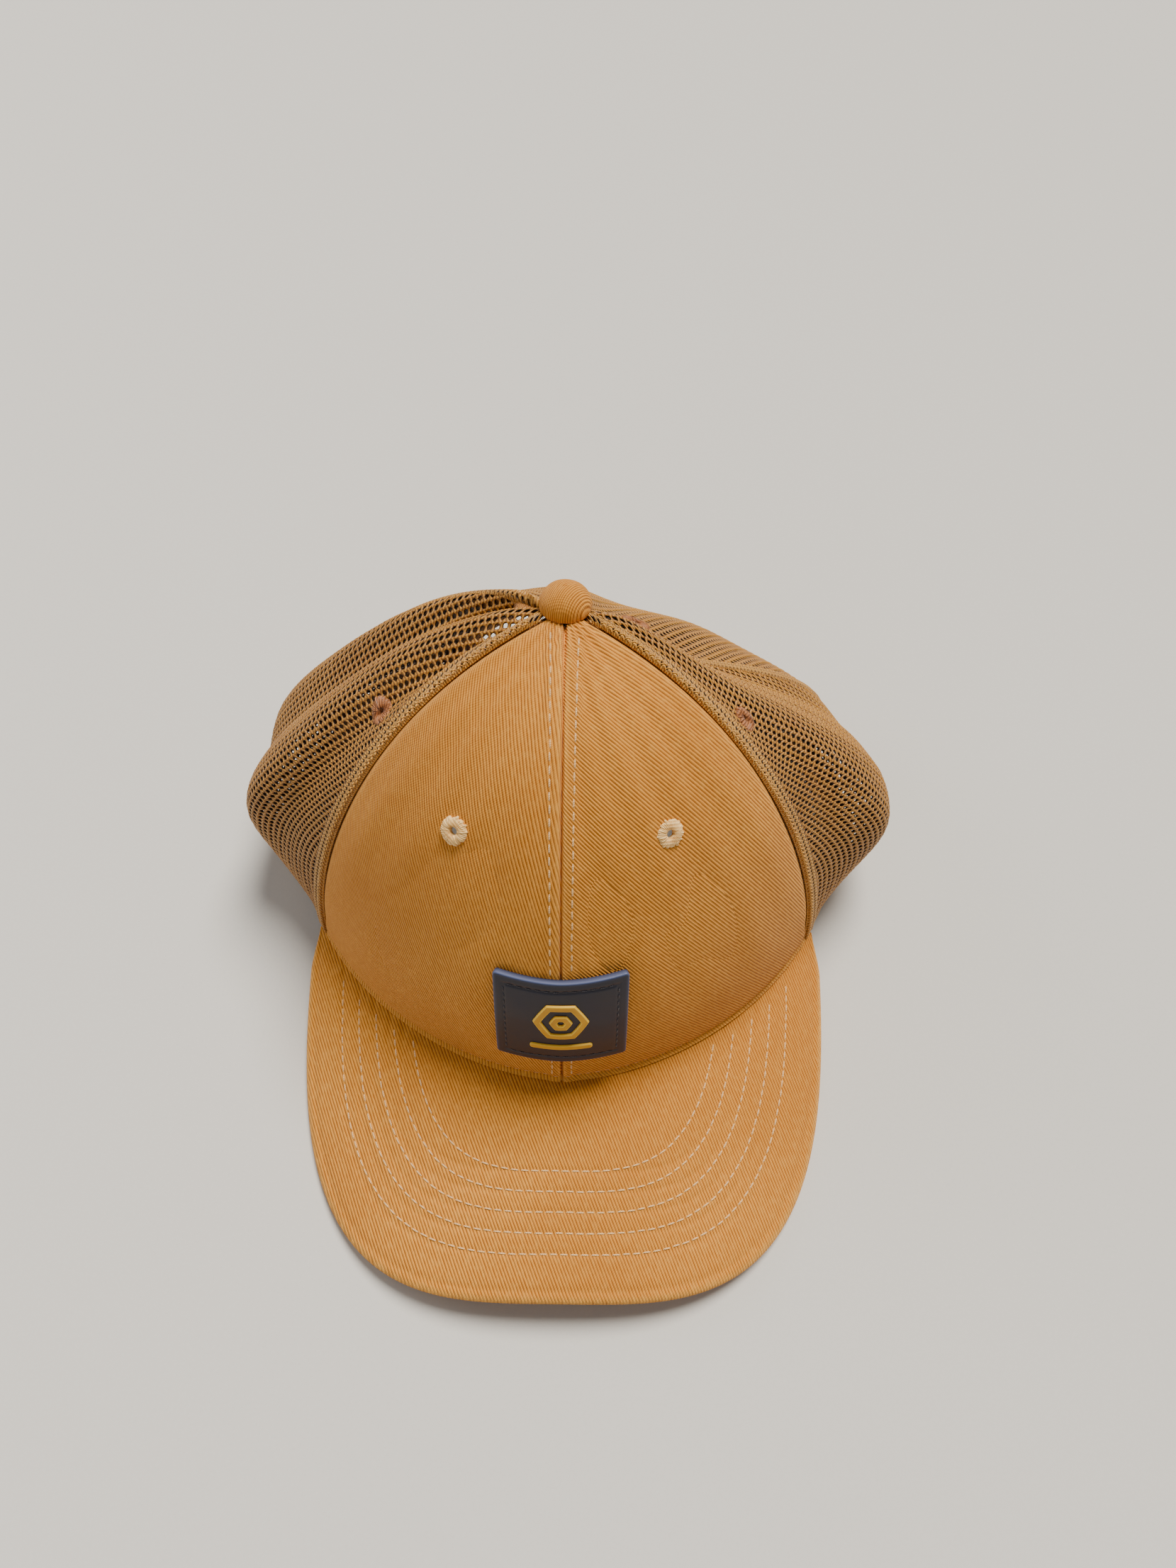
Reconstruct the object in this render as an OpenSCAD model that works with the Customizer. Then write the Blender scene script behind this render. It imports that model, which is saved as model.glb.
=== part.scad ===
// Baseball cap with a stiff canvas front, knitted mesh sides and back, and a snap strap.
// +Z is up and the visor points along -Y. "right" is +X, "left" is -X.
// The cap stands on its back hem and on the drooping edges of the visor, at z = 0.

/* [Crown] */
// Half width of the head opening
crown_half_w = 99; // [94:1:103]
// Reach of the head opening in front of its centre
crown_front = 109; // [104:1:113]
// Reach of the head opening behind its centre
crown_back = 80; // [76:1:86]
// Height of the top of the crown
crown_h = 134; // [126:1:142]
// Height of the hem at the middle of the front
hem_front_h = 21; // [18:1:24]
// Height of the hem where the front panels end
hem_side_h = 8; // [7:1:10]
// How strongly the slack mesh flares out above the hem
mesh_flare = 79; // [60:1:90]

/* [Visor] */
// Half width of the visor
visor_half_w = 90; // [88:0.5:93]
// Length of the visor's outline, from its widest point to its tip
visor_len = 135.5; // [126:0.5:140]
// How squarely the outline turns its corners
visor_square = 3.25; // [2.6:0.05:3.6]
// Fall of the visor towards its tip
visor_fall = 0.17; // [0.12:0.01:0.2]

/* [Closure] */
// Height of the rear opening
arch_h = 50; // [44:1:56]
// Half width of the rear opening, as an angle round the crown
arch_half_angle = 26; // [24:1:27]
// Distance from one snap peg to the next
snap_pitch = 8; // [7:0.5:8]

/* [Patch] */
// Width of the rubber patch
patch_w = 38.5; // [34:0.5:44]
// Height of the rubber patch
patch_h = 35.5; // [30:0.5:38]

/* [Hidden] */

// Colours
duck = [0.80, 0.58, 0.33];
mesh_brown = [0.66, 0.48, 0.25];
pale_thread = [0.96, 0.82, 0.60];
brown_thread = [0.70, 0.48, 0.30];
navy = [0.13, 0.14, 0.21];
yellow = [0.82, 0.62, 0.12];
white_cloth = [0.90, 0.89, 0.85];
tape_cloth = [0.72, 0.55, 0.34];
brown_plastic = [0.50, 0.34, 0.18];

// Seams between the panels, as angles round the crown from the front
seam_front_side = 60;
seam_side_back = 120;
seam_back = 180;

// The crown is one surface. Its meridians are superellipses whose exponents change
// from front to side to back: [horizontal, vertical].
exp_front = [0.85, 1.05];
exp_side = [1.46, 1.29];
exp_back = [1.67, 1.34];
rim_power = 1.15;
top_radius = 6;
flare_on = [60, 82];
flare_off = [100, 180];
flare_forward = 0.27;
hem_settle = 80;
panel_cols = 12;

// Layer thicknesses. Depths are measured inward from the crown's outer surface.
cloth_t = 1.0;
buckram_t = 1.0;
tape_t = 0.6;
band_depth = 2.8;
band_t = 1.4;
binding_proud = 0.3;
ridge_t = 1.1;
thread_gap = 0.1;
thread_t = 0.4;
thread_w = 0.8;

// Row heights above the hem that the layers share, then free rows up to the top
row_h = [0, 3.5, 6, 12, 21, 34];
rows = 13;
ridge_row = 2;
tape_half_w = 6;
tape_max_angle = 18;

// Visor
visor_behind = 39;
visor_in_angle = 63;
visor_out_angle = 83.2;
visor_layer = 1.0;
board_t = 2.0;
visor_edge = 1.2;
visor_gap = 0.2;
visor_rows = 5;
visor_up = 5;
visor_side_ease = 0.2;
tip_reach = visor_behind + visor_len;

// Centre of the head opening, placed so that the whole cap is centred on the origin
back_reach = crown_back * cos(arch_half_angle) + binding_proud;
crown_y = (tip_reach - back_reach) / 2;
top_y = crown_y - 4;
visor_y = crown_y - visor_behind;

// Rear opening
binding_k = 1.2;
arch_edge = seam_back - arch_half_angle * binding_k;

// Eyelets: angle round the crown and angle up it
front_eyelet = [31, 52.5];
side_eyelet = [72.4, 53.6];
back_eyelet = [150, 50];
eyelet_r = 4;
eyelet_bore = 1.2;
eyelet_t = 3;
eyelet_sink = 0.7;

// Top button
button_r = 7.8;
button_h = 7.4;
button_tilt = 12;
button_back = 1.3;
button_z = crown_h - 0.4;
button_drop = 4.6;
button_shank_r = 2;
button_skin = 0.92;
button_base = 0.6;
washer_r = 5.6;

// Sweatband
band_end = 141;
band_cols = 60;

// Visor stitching: margins of the outer row, and the pitch between rows
stitch_rows = 5;
stitch_side = 13.5;
stitch_side_pitch = 6;
stitch_front = 13.5;
stitch_front_pitch = 6;

// Patch
patch_t = 2;
patch_gap = 0.3;
patch_z = hem_front_h + 23;
patch_mid_z = patch_z + patch_h / 2;
emblem_up = 3;
bar_down = 9.5;

// Snap closure: straps lie flat across the opening and lean in with the wall
closure_tilt = 13;
closure_y = crown_y + 70.1;
hinge_x = 31.5;
strap_t = 1.4;
strap_depth = 0.85;
strap_h = 17.4;
strap_low = 3.6;
strap_end = 21.4;
snap_hole_r = 2.5;
snap_peg_r = 1.8;
peg_top = 2.1;
root_x = 32.8;
root_y = -0.6;
root_angle = 17.3;
root_len = 17.2;

// ---- helpers ----
function smooth(x, lo, hi) = let(t = min(1, max(0, (x - lo) / (hi - lo)))) t * t * (3 - 2 * t);
function wrap(a) = a > 180 ? a - 360 : a;
function mix(a, b, f) = a + (b - a) * f;
function unit(v) = v / norm(v);

// ---- crown surface ----
function rim_x(p) = crown_half_w * sign(sin(p)) * pow(abs(sin(p)), rim_power);
function rim_y(p) = crown_y - (cos(p) > 0 ? crown_front : crown_back) * cos(p);
function arch_z(x) = (hem_front_h - hem_side_h) * (1 - pow(x / rim_x(seam_front_side), 2));
function hem_z(p) = let(a = abs(p)) a <= seam_front_side ? hem_side_h + arch_z(rim_x(a))
    : hem_side_h * pow(max(0, 1 - (a - seam_front_side) / hem_settle), 2);
function expo(p, k) = let(a = abs(p))
    exp_front[k] + (exp_side[k] - exp_front[k]) * smooth(a, 51, 100)
    + (exp_back[k] - exp_side[k]) * smooth(a, 100, 180);
function flare(p, t) = let(a = abs(p))
    mesh_flare * smooth(a, flare_on[0], flare_on[1])
    * (1 - smooth(a, flare_off[0], flare_off[1])) * pow(sin(t), 1.02) * pow(cos(t), 5);
function surf(p, t, slack) = let(
    h = pow(cos(t), expo(p, 0)),
    v = pow(sin(t), expo(p, 1)),
    f = flare(p, t) * slack)
    [rim_x(p) * h + sign(p) * f,
     top_y + (rim_y(p) - top_y) * h - flare_forward * f,
     hem_z(p) + (crown_h - hem_z(p)) * v];
// Outward normal, level at the hem so that the hem's underside is flat
function normal_at(p, t, slack) = let(
    e = 0.4,
    t0 = max(0.2, min(89, t)),
    dp = surf(p + e, t0, slack) - surf(p - e, t0, slack),
    dt = surf(p, t0 + 0.2, slack) - surf(p, t0 - 0.2, slack),
    n = unit(cross(dp, dt)))
    unit([n.x, n.y, n.z * smooth(t, 0, 14)]);
function crown_pt(p, t, depth, slack = 1) = let(a = wrap(p))
    surf(a, t, slack) - depth * normal_at(a, t, slack);

// Angle t at a height above the hem, and where the top ring of the crown is met
function t_at(p, h) = let(a = wrap(p)) asin(pow(h / (crown_h - hem_z(a)), 1 / expo(a, 1)));
function t_top(p) = let(a = wrap(p), reach = norm([rim_x(a), rim_y(a) - top_y]))
    acos(pow(top_radius / reach, 1 / expo(a, 0)));
function fixed_rows() = len(row_h) - 1;
function t_row(p, j) = j <= fixed_rows() ? t_at(p, row_h[j])
    : mix(t_at(p, row_h[fixed_rows()]), t_top(p), (j - fixed_rows()) / (rows - fixed_rows()));
function tape_angle(seam, j) = let(q = surf(wrap(seam), t_row(seam, j), 1))
    min(tape_max_angle, tape_half_w / norm([q.x, q.y - top_y]) * 180 / PI);

// Angle of column i of n, in row j, on a panel from seam a to seam b
function col_angle(a, b, n, i, j) = i == 0 ? a : i == n ? b
    : mix(a + tape_angle(a, j), b - tape_angle(b, j), (i - 1) / (n - 2));
function panel_pt(a, b, n, i, j, depth) = let(p = col_angle(a, b, n, i, j))
    crown_pt(p, t_row(p, j), depth);

// Back panels: columns follow the arch of the rear opening
function arch_col(i) = i <= 4 ? mix(seam_side_back + tape_angle(seam_side_back, 0), arch_edge, (i - 1) / 3)
    : seam_back - arch_half_angle * binding_k * cos(arch_theta(i));
function arch_theta(i) = i >= 10 ? 90 : i == 9 ? 77.5 : 15 * (i - 4);
function arch_height(i) = arch_h * binding_k * sin(arch_theta(i));
back_cols = 10;
function back_frac(i) = let(a = seam_side_back + tape_angle(seam_side_back, 0))
    (arch_col(i) - a) / (arch_col(9) - a);
function back_seam_angle(j) = mix(seam_back - arch_col(9), tape_max_angle, smooth(j, 4, rows));
function back_angle(i, j) = i == 0 ? seam_side_back : i == back_cols ? seam_back
    : mix(seam_side_back + tape_angle(seam_side_back, j), seam_back - back_seam_angle(j), back_frac(i));
function back_t(i, j) = let(p = back_angle(i, j)) i <= 4 ? t_row(p, j)
    : mix(t_at(arch_col(i), arch_height(i)), t_top(p), j / rows);
function back_pt(s, i, j, depth) = let(p = back_angle(i, j))
    crown_pt(s > 0 ? p : 360 - p, back_t(i, j), depth);

// ---- solids from grids of points ----
// A slab between two grids of the same size: g[column][row] is outside and h is inside.
// Columns run to the right and rows run up, seen from outside.
function quad(a, b, c, d) = [[a, b, c], [a, c, d]];
module slab(g, h, closed = false) {
    n = len(g);
    m = len(g[0]);
    off = n * m;
    last = closed ? n - 1 : n - 2;
    id = function(i, j) (i % n) * m + j;
    sides = [for (i = [0:last]) for (j = [0:m - 2])
        each concat(quad(id(i, j), id(i, j + 1), id(i + 1, j + 1), id(i + 1, j)),
            quad(off + id(i, j), off + id(i + 1, j), off + id(i + 1, j + 1), off + id(i, j + 1)))];
    rims = [for (i = [0:last])
        each concat(quad(id(i, 0), id(i + 1, 0), off + id(i + 1, 0), off + id(i, 0)),
            quad(id(i + 1, m - 1), id(i, m - 1), off + id(i, m - 1), off + id(i + 1, m - 1)))];
    ends = closed ? [] : [for (j = [0:m - 2])
        each concat(quad(id(0, j + 1), id(0, j), off + id(0, j), off + id(0, j + 1)),
            quad(id(n - 1, j + 1), off + id(n - 1, j + 1), off + id(n - 1, j), id(n - 1, j)))];
    polyhedron(concat([for (c = g) each c], [for (c = h) each c]),
        concat(sides, rims, ends), convexity = 10);
}
// Columns i0 to i1 and rows j0 to j1 of the panel between seams a and b
module layer(a, i0, i1, j0, j1, depth0, depth1) {
    b = a + 60;
    slab([for (i = [i0:i1]) [for (j = [j0:j1]) panel_pt(a, b, panel_cols, i, j, depth0)]],
        [for (i = [i0:i1]) [for (j = [j0:j1]) panel_pt(a, b, panel_cols, i, j, depth1)]]);
}
// A strip over a seam, one tape width to each side
module seam_strip(seam, j0, j1, depth0, depth1) {
    grid = function(d) [for (k = [-1:1]) [for (j = [j0:j1])
        let(p = seam + k * tape_angle(seam, j)) crown_pt(p, t_row(p, j), d)]];
    slab(grid(depth0), grid(depth1));
}
// Places its children on the crown with +Z along the outward normal
module on_crown(p, t) {
    n = normal_at(p, t, 1);
    translate(surf(p, t, 1))
        rotate([0, acos(n.z), atan2(n.y, n.x)])
            children();
}

// ---- crown panels ----
module eyelet_hole(p, t) {
    on_crown(p, t)
        cylinder(r = eyelet_r, h = 12, center = true, $fn = 32);
}
module front_panel(a, side) {
    color(duck)
        difference() {
            layer(a, 0, panel_cols, 0, rows, 0, cloth_t);
            eyelet_hole(side * front_eyelet[0], front_eyelet[1]);
        }
}
module side_panel(a, side) {
    color(mesh_brown)
        difference() {
            layer(a, 0, panel_cols, 0, rows, 0, cloth_t);
            eyelet_hole(side * side_eyelet[0], side_eyelet[1]);
        }
}
module back_panel(side) {
    order = side > 0 ? [for (i = [0:back_cols]) i] : [for (i = [back_cols:-1:0]) i];
    grid = function(d) [for (i = order) [for (j = [0:rows]) back_pt(side, i, j, d)]];
    color(mesh_brown)
        difference() {
            slab(grid(0), grid(cloth_t));
            eyelet_hole(side * back_eyelet[0], back_eyelet[1]);
        }
}
module front_panel_right() { front_panel(0, 1); }
module front_panel_left() { front_panel(300, -1); }
module side_panel_right() { side_panel(60, 1); }
module side_panel_left() { side_panel(240, -1); }
module back_panel_right() { back_panel(1); }
module back_panel_left() { back_panel(-1); }

// ---- stiffener, tapes and ridges ----
module buckram(a, i0, i1, side) {
    color(white_cloth)
        difference() {
            layer(a, i0, i1, 1, rows - 1, cloth_t, cloth_t + buckram_t);
            eyelet_hole(side * front_eyelet[0], front_eyelet[1]);
        }
}
module buckram_right() { buckram(0, 0, panel_cols - 1, 1); }
module buckram_left() { buckram(300, 1, panel_cols, -1); }
module tape_centre_front() {
    inner = cloth_t + buckram_t;
    color(tape_cloth) seam_strip(0, 1, rows - 1, inner, inner + tape_t);
}
module side_tape(seam) {
    color(tape_cloth) seam_strip(seam, 1, rows - 1, cloth_t, cloth_t + tape_t);
}
module tape_front_side_right() { side_tape(60); }
module tape_front_side_left() { side_tape(300); }
module tape_side_back_right() { side_tape(120); }
module tape_side_back_left() { side_tape(240); }
module tape_centre_back() {
    col = function(k, d) [for (j = [0:rows - 1]) k == 0 ? back_pt(1, back_cols, j, d)
        : back_pt(-k, back_cols - 1, j, d)];
    grid = function(d) [for (k = [-1:1]) col(k, d)];
    color(tape_cloth) slab(grid(cloth_t), grid(cloth_t + tape_t));
}
module seam_ridge_right() {
    color(mesh_brown) layer(60, 0, 1, ridge_row, rows - 1, -ridge_t, 0);
}
module seam_ridge_left() {
    color(mesh_brown) layer(240, panel_cols - 1, panel_cols, ridge_row, rows - 1, -ridge_t, 0);
}

// ---- hem, sweatband, label and arch binding ----
module hem_tape() {
    inner = band_depth - 0.2;
    angles = concat([for (i = [4:-1:0]) 360 - back_angle(i, 0)],
        [for (a = [240, 300, 360, 420]) for (i = [1:panel_cols]) col_angle(a, a + 60, panel_cols, i, 0)],
        [for (i = [1:4]) 360 + back_angle(i, 0)]);
    grid = function(d) [for (p = angles) [for (j = [0:1]) hem_pt(p, j, d)]];
    color(tape_cloth) slab(grid(cloth_t), grid(inner));
}
function hem_pt(p, j, depth) = let(q = p > 360 ? p - 360 : p) crown_pt(q, t_at(q, row_h[j]), depth);
function band_angle(k) = -band_end + 2 * band_end * k / band_cols;
module band_part(k0, k1, heights, depth0, depth1) {
    grid = function(d) [for (k = [k0:k1]) [for (h = heights)
        crown_pt(band_angle(k), t_at(band_angle(k), h), d, 0)]];
    slab(grid(depth0), grid(depth1));
}
module sweatband() {
    color(white_cloth) band_part(0, band_cols, [1, 12, 21, 32], band_depth, band_depth + band_t);
}
module size_label() {
    inner = band_depth + band_t + 0.05;
    color(white_cloth) band_part(band_cols - 6, band_cols - 2, [12, 21], inner, inner + 0.3);
}
module arch_binding() {
    thetas = concat([for (i = [4:9]) arch_theta(i)], [90], [for (i = [9:-1:4]) 180 - arch_theta(i)]);
    pt = function(th, k, d) let(p = seam_back - arch_half_angle * k * cos(th))
        crown_pt(p, t_at(p, arch_h * k * sin(th)), d);
    ks = [binding_k, 1];
    grid = function(d) [for (th = thetas) [for (k = ks) pt(th, k, d)]];
    color(tape_cloth) slab(grid(cloth_t), grid(-binding_proud));
}

// ---- eyelets ----
module eyelet(p, t, thread) {
    half = eyelet_t / 2;
    color(thread)
        on_crown(p, t)
            translate([0, 0, -eyelet_sink])
                rotate_extrude($fn = 32)
                    polygon([[eyelet_bore, -half + 0.3], [eyelet_bore + 0.5, -half],
                        [eyelet_r - 0.5, -half], [eyelet_r - 0.02, -half + 0.4],
                        [eyelet_r - 0.02, half - 0.4], [eyelet_r - 0.5, half],
                        [eyelet_bore + 0.5, half], [eyelet_bore, half - 0.3]]);
}
module front_eyelets() {
    for (s = [-1, 1]) eyelet(s * front_eyelet[0], front_eyelet[1], pale_thread);
}
module side_eyelets() {
    for (s = [-1, 1]) eyelet(s * side_eyelet[0], side_eyelet[1], brown_thread);
}
module back_eyelets() {
    for (s = [-1, 1]) eyelet(s * back_eyelet[0], back_eyelet[1], brown_thread);
}

// ---- top button ----
module on_top(z) {
    translate([0, top_y + button_back, z]) rotate([-button_tilt, 0, 0]) children();
}
function dome(r, h, n = 8) = [for (k = [0:n]) [r * cos(90 * k / n), h * sin(90 * k / n)]];
module button_cover() {
    color(duck)
        on_top(button_z)
            rotate_extrude($fn = 48)
                difference() {
                    polygon(concat([[0, 0]], dome(button_r, button_h)));
                    polygon(concat([[0, -1]], [[button_r - 1.9, -1]],
                        dome(button_r - 0.9, button_h - 0.9)));
                }
}
module button_shell() {
    core = dome(button_r - button_skin, button_h - button_skin);
    color("silver")
        on_top(button_z)
            rotate_extrude($fn = 48) {
                intersection() {
                    polygon(concat([[0, 0]], core));
                    translate([0, button_base]) square(button_r);
                }
                translate([0, -button_drop]) square([button_shank_r, button_drop + 1]);
            }
}
module button_washer() {
    color("silver")
        on_top(button_z)
            translate([0, 0, -button_drop])
                difference() {
                    cylinder(r = washer_r, h = 1, $fn = 48);
                    translate([0, 0, -1]) cylinder(r = button_shank_r + 0.02, h = 3, $fn = 32);
                }
}

// ---- visor ----
// Plan outline as a superellipse in polar form, drawn in by side and front margins
function outline(b, side_in, front_in) = let(
    w = visor_half_w - side_in,
    l = visor_len - front_in,
    r = pow(pow(abs(sin(b)) / w, visor_square) + pow(cos(b) / l, visor_square), -1 / visor_square))
    [r * sin(b), visor_y - r * cos(b)];
// Height of the visor's top face over a point of the plan
function rim_y_at(x) = crown_y - crown_front
    * sqrt(max(0, 1 - pow(min(1, abs(x) / crown_half_w), 2 / rim_power)));
function visor_z(q) = hem_side_h + visor_up + arch_z(q.x)
    - visor_fall * (1 - visor_side_ease * pow(q.x / visor_half_w, 2)) * max(0, rim_y_at(q.x) - q.y);
function visor_pt(q, depth) = [q.x, q.y, visor_z(q) - depth];
function visor_inner(p) = let(gap = visor_gap + 0.1 * max(0, abs(p) - seam_front_side))
    crown_pt(p, 0, -gap);
visor_angles = concat([-visor_in_angle],
    [for (i = [0:panel_cols - 1]) col_angle(300, 360, panel_cols, i, 0) - 360],
    [for (i = [0:panel_cols]) col_angle(0, 60, panel_cols, i, 0)], [visor_in_angle]);
// Point of the plan at fraction f from the crown (0) to the outline drawn in by inset (1)
function visor_plan(p, f, inset) = let(
    a = visor_inner(p),
    o = outline(p * visor_out_angle / visor_in_angle, inset, inset))
    [mix(a.x, o.x, f), mix(a.y, o.y, f)];
function board_edge(p) = visor_plan(p, 1, min(visor_edge, 0.5 + abs(visor_in_angle - abs(p))));
// Rows from the outline in to the crown: [plan point, is it beyond the board]
function visor_rows_at(p) = let(e = board_edge(p), a = visor_plan(p, 0, 0), o = visor_plan(p, 1, 0))
    concat([o, e + 0.05 * unit(o - e)],
        [for (k = [visor_rows:-1:0]) [mix(a.x, e.x, k / visor_rows), mix(a.y, e.y, k / visor_rows)]]);
// One layer; each depth list holds the values at the outline, at the lip and over the board
module visor_sheet(upper, lower, first = 0) {
    grid = function(d) [for (p = visor_angles) let(r = visor_rows_at(p))
        [for (j = [first:len(r) - 1]) visor_pt(r[j], d[min(j, 2)])]];
    slab(grid(upper), grid(lower));
}
module visor_top_cover() {
    mid = visor_layer + board_t / 2;
    color(duck) visor_sheet([0.5, 0, 0], [mid, mid, visor_layer]);
}
module visor_board() {
    color("white") visor_sheet([1, 1, visor_layer], [1, 1, visor_layer + board_t], 2);
}
module visor_under_cover() {
    mid = visor_layer + board_t / 2;
    full = 2 * visor_layer + board_t;
    color(duck) visor_sheet([mid, mid, visor_layer + board_t], [full - 0.5, full, full]);
}
// Whether a point of the plan lies clear of the crown
function clear_of_crown(q) = q.y < crown_y
    && pow(abs(q.x) / crown_half_w, 2 / rim_power) + pow((q.y - crown_y) / crown_front, 2) > 1.05;
module visor_stitching() {
    for (k = [0:stitch_rows - 1]) {
        side_in = stitch_side + k * stitch_side_pitch;
        front_in = stitch_front + k * stitch_front_pitch;
        angles = [for (b = [-81:4.5:81]) if (clear_of_crown(outline(b, side_in, front_in))) b];
        grid = function(d) [for (b = angles) [for (w = [-0.5, 0.5])
            visor_pt(outline(b, side_in + w * thread_w, front_in + w * thread_w), d)]];
        color(pale_thread) slab(grid(-thread_gap - thread_t), grid(-thread_gap));
    }
}

// ---- topstitching on the crown ----
function between(a, b, n, i, j, u, v, depth) = let(
    p00 = panel_pt(a, b, n, i, j, depth), p10 = panel_pt(a, b, n, i + 1, j, depth),
    p01 = panel_pt(a, b, n, i, j + 1, depth), p11 = panel_pt(a, b, n, i + 1, j + 1, depth))
    mix(mix(p00, p10, u), mix(p01, p11, u), v);
module crown_topstitching() {
    out = [-thread_gap - thread_t, -thread_gap];
    top = rows - 2;
    // two rows beside the centre seam, above the patch
    for (side = [0, 1]) {
        a = side == 0 ? 0 : 300;
        i = side == 0 ? 0 : panel_cols - 1;
        us = side == 0 ? [0.76, 0.9] : [0.1, 0.24];
        grid = function(d) [for (u = us) [for (j = [7:top])
            between(a, a + 60, panel_cols, i, j, u, 0, d)]];
        color(pale_thread) slab(grid(out[0]), grid(out[1]));
    }
    // one row above the visor, below the patch
    spots = concat([for (i = [1:panel_cols - 1]) [300, i]], [for (i = [0:panel_cols - 1]) [0, i]]);
    row = function(d) [for (q = spots) [for (v = [0.1, 0.23])
        between(q[0], q[0] + 60, panel_cols, q[1], 2, 0, v, d)]];
    color(pale_thread) slab(row(out[0]), row(out[1]));
}

// ---- patch ----
// Point of the patch at x across and z up, measured on the front of the crown
function front_angle(x, h) = sign(x) * asin(pow(abs(x) / (crown_half_w * h), 1 / rim_power));
function front_t(p, z) = t_at(p, z - hem_z(p));
function patch_pt(q, depth) = let(
    p0 = front_angle(q[0], 1),
    p1 = front_angle(q[0], pow(cos(front_t(p0, q[1])), expo(p0, 0))))
    crown_pt(p1, front_t(p1, q[1]), depth);
module patch_base() {
    grid = function(d, inset) [for (x = [-4:4]) [for (k = [0:4])
        patch_pt([x / 4 * (patch_w / 2 - inset), patch_z + inset + k / 4 * (patch_h - 2 * inset)], d)]];
    color(navy) slab(grid(-patch_gap - patch_t, 0.5), grid(-patch_gap, 0));
}
// A closed ring on the patch between two outlines given as functions of the angle
module patch_ring(inner, outer, steps, low, high) {
    grid = function(d) [for (k = [0:steps - 1]) let(b = 360 * k / steps)
        [for (f = [inner, outer]) patch_pt(f(b), d)]];
    slab(grid(-high), grid(-low), closed = true);
}
function hexagon(b, r) = let(a = (((b % 60) + 60) % 60) - 30, s = r * cos(30) / cos(a))
    [s * sin(b), patch_mid_z + emblem_up + s * cos(b)];
function frame_pt(b, inset) = let(w = patch_w / 2 - inset, h = patch_h / 2 - inset,
    s = min(w / max(0.001, abs(sin(b))), h / max(0.001, abs(cos(b)))))
    [s * sin(b), patch_mid_z + s * cos(b)];
module patch_emblem() {
    low = patch_gap + patch_t + 0.15;
    high = low + 0.7;
    color(yellow) {
        patch_ring(function(b) hexagon(b, 5.6), function(b) hexagon(b, 8), 12, low, high);
        patch_ring(function(b) hexagon(b, 1), function(b) hexagon(b, 3.3), 12, low, high);
        bar_z = patch_mid_z - bar_down;
        grid = function(d) [for (x = [-9:3:9]) [for (z = [0, 1.8]) patch_pt([x, bar_z + z], d)]];
        slab(grid(-high), grid(-low));
    }
}
module patch_stitching() {
    low = patch_gap + patch_t + 0.15;
    color(navy)
        patch_ring(function(b) frame_pt(b, 3.3), function(b) frame_pt(b, 2.7), 48, low, low + 0.25);
}

// ---- rear closure ----
module closure() {
    translate([0, closure_y, 0]) rotate([closure_tilt, 0, 0]) children();
}
module strap_outline(from, to) {
    r = strap_h / 2;
    translate([from, strap_low]) square([to - from - r, strap_h]);
    translate([to - r, strap_low + r]) circle(r = r, $fn = 48);
}
// A strap lying along +X from its hinge at -hinge_x; depth is where its middle lies
module strap(depth) {
    translate([0, depth + strap_t / 2, 0])
        rotate([90, 0, 0])
            linear_extrude(strap_t)
                strap_outline(-hinge_x, strap_end);
    translate([-hinge_x, depth, strap_low])
        cylinder(r = strap_t / 2, h = strap_h, $fn = 24);
}
module along_strap(x) {
    translate([x, 0, strap_low + strap_h / 2]) rotate([-90, 0, 0]) children();
}
module strap_with_holes() {
    color(brown_plastic)
        closure()
            difference() {
                mirror([1, 0, 0]) strap(strap_depth);
                for (k = [-2:3])
                    along_strap(k * snap_pitch) cylinder(r = snap_hole_r, h = 4, $fn = 32);
            }
}
module strap_with_pegs() {
    color(brown_plastic)
        closure() {
            strap(-strap_depth);
            for (k = [-3:2])
                along_strap(k * snap_pitch)
                    translate([0, 0, -strap_depth])
                        union() {
                            cylinder(r = snap_peg_r, h = peg_top - 0.4 + strap_depth, $fn = 32);
                            translate([0, 0, peg_top - 0.4 + strap_depth])
                                cylinder(r1 = snap_peg_r, r2 = snap_peg_r - 0.4, h = 0.4, $fn = 32);
                        }
        }
}
module strap_root(side) {
    color(brown_plastic)
        closure()
            translate([side * root_x, root_y, strap_low])
                rotate([0, 0, side > 0 ? -root_angle : root_angle - 180])
                    translate([0, -0.65, 0])
                        cube([root_len, 1.3, strap_h]);
}
module strap_root_right() { strap_root(1); }
module strap_root_left() { strap_root(-1); }

front_panel_right();
front_panel_left();
side_panel_right();
side_panel_left();
back_panel_right();
back_panel_left();
buckram_right();
buckram_left();
tape_centre_front();
tape_front_side_right();
tape_front_side_left();
tape_side_back_right();
tape_side_back_left();
tape_centre_back();
seam_ridge_right();
seam_ridge_left();
hem_tape();
sweatband();
size_label();
arch_binding();
front_eyelets();
side_eyelets();
back_eyelets();
button_cover();
button_shell();
button_washer();
visor_top_cover();
visor_board();
visor_under_cover();
visor_stitching();
crown_topstitching();
patch_base();
patch_emblem();
patch_stitching();
strap_with_holes();
strap_with_pegs();
strap_root_right();
strap_root_left();
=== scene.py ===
# Baseball cap: canvas front, knitted mesh sides and back, stitched visor, rubber patch, snap strap.
# Lengths are in millimetres and angles in degrees until a mesh is made, which is in metres.
import math

import bpy
import numpy as np
from mathutils import Matrix, Vector


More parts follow.
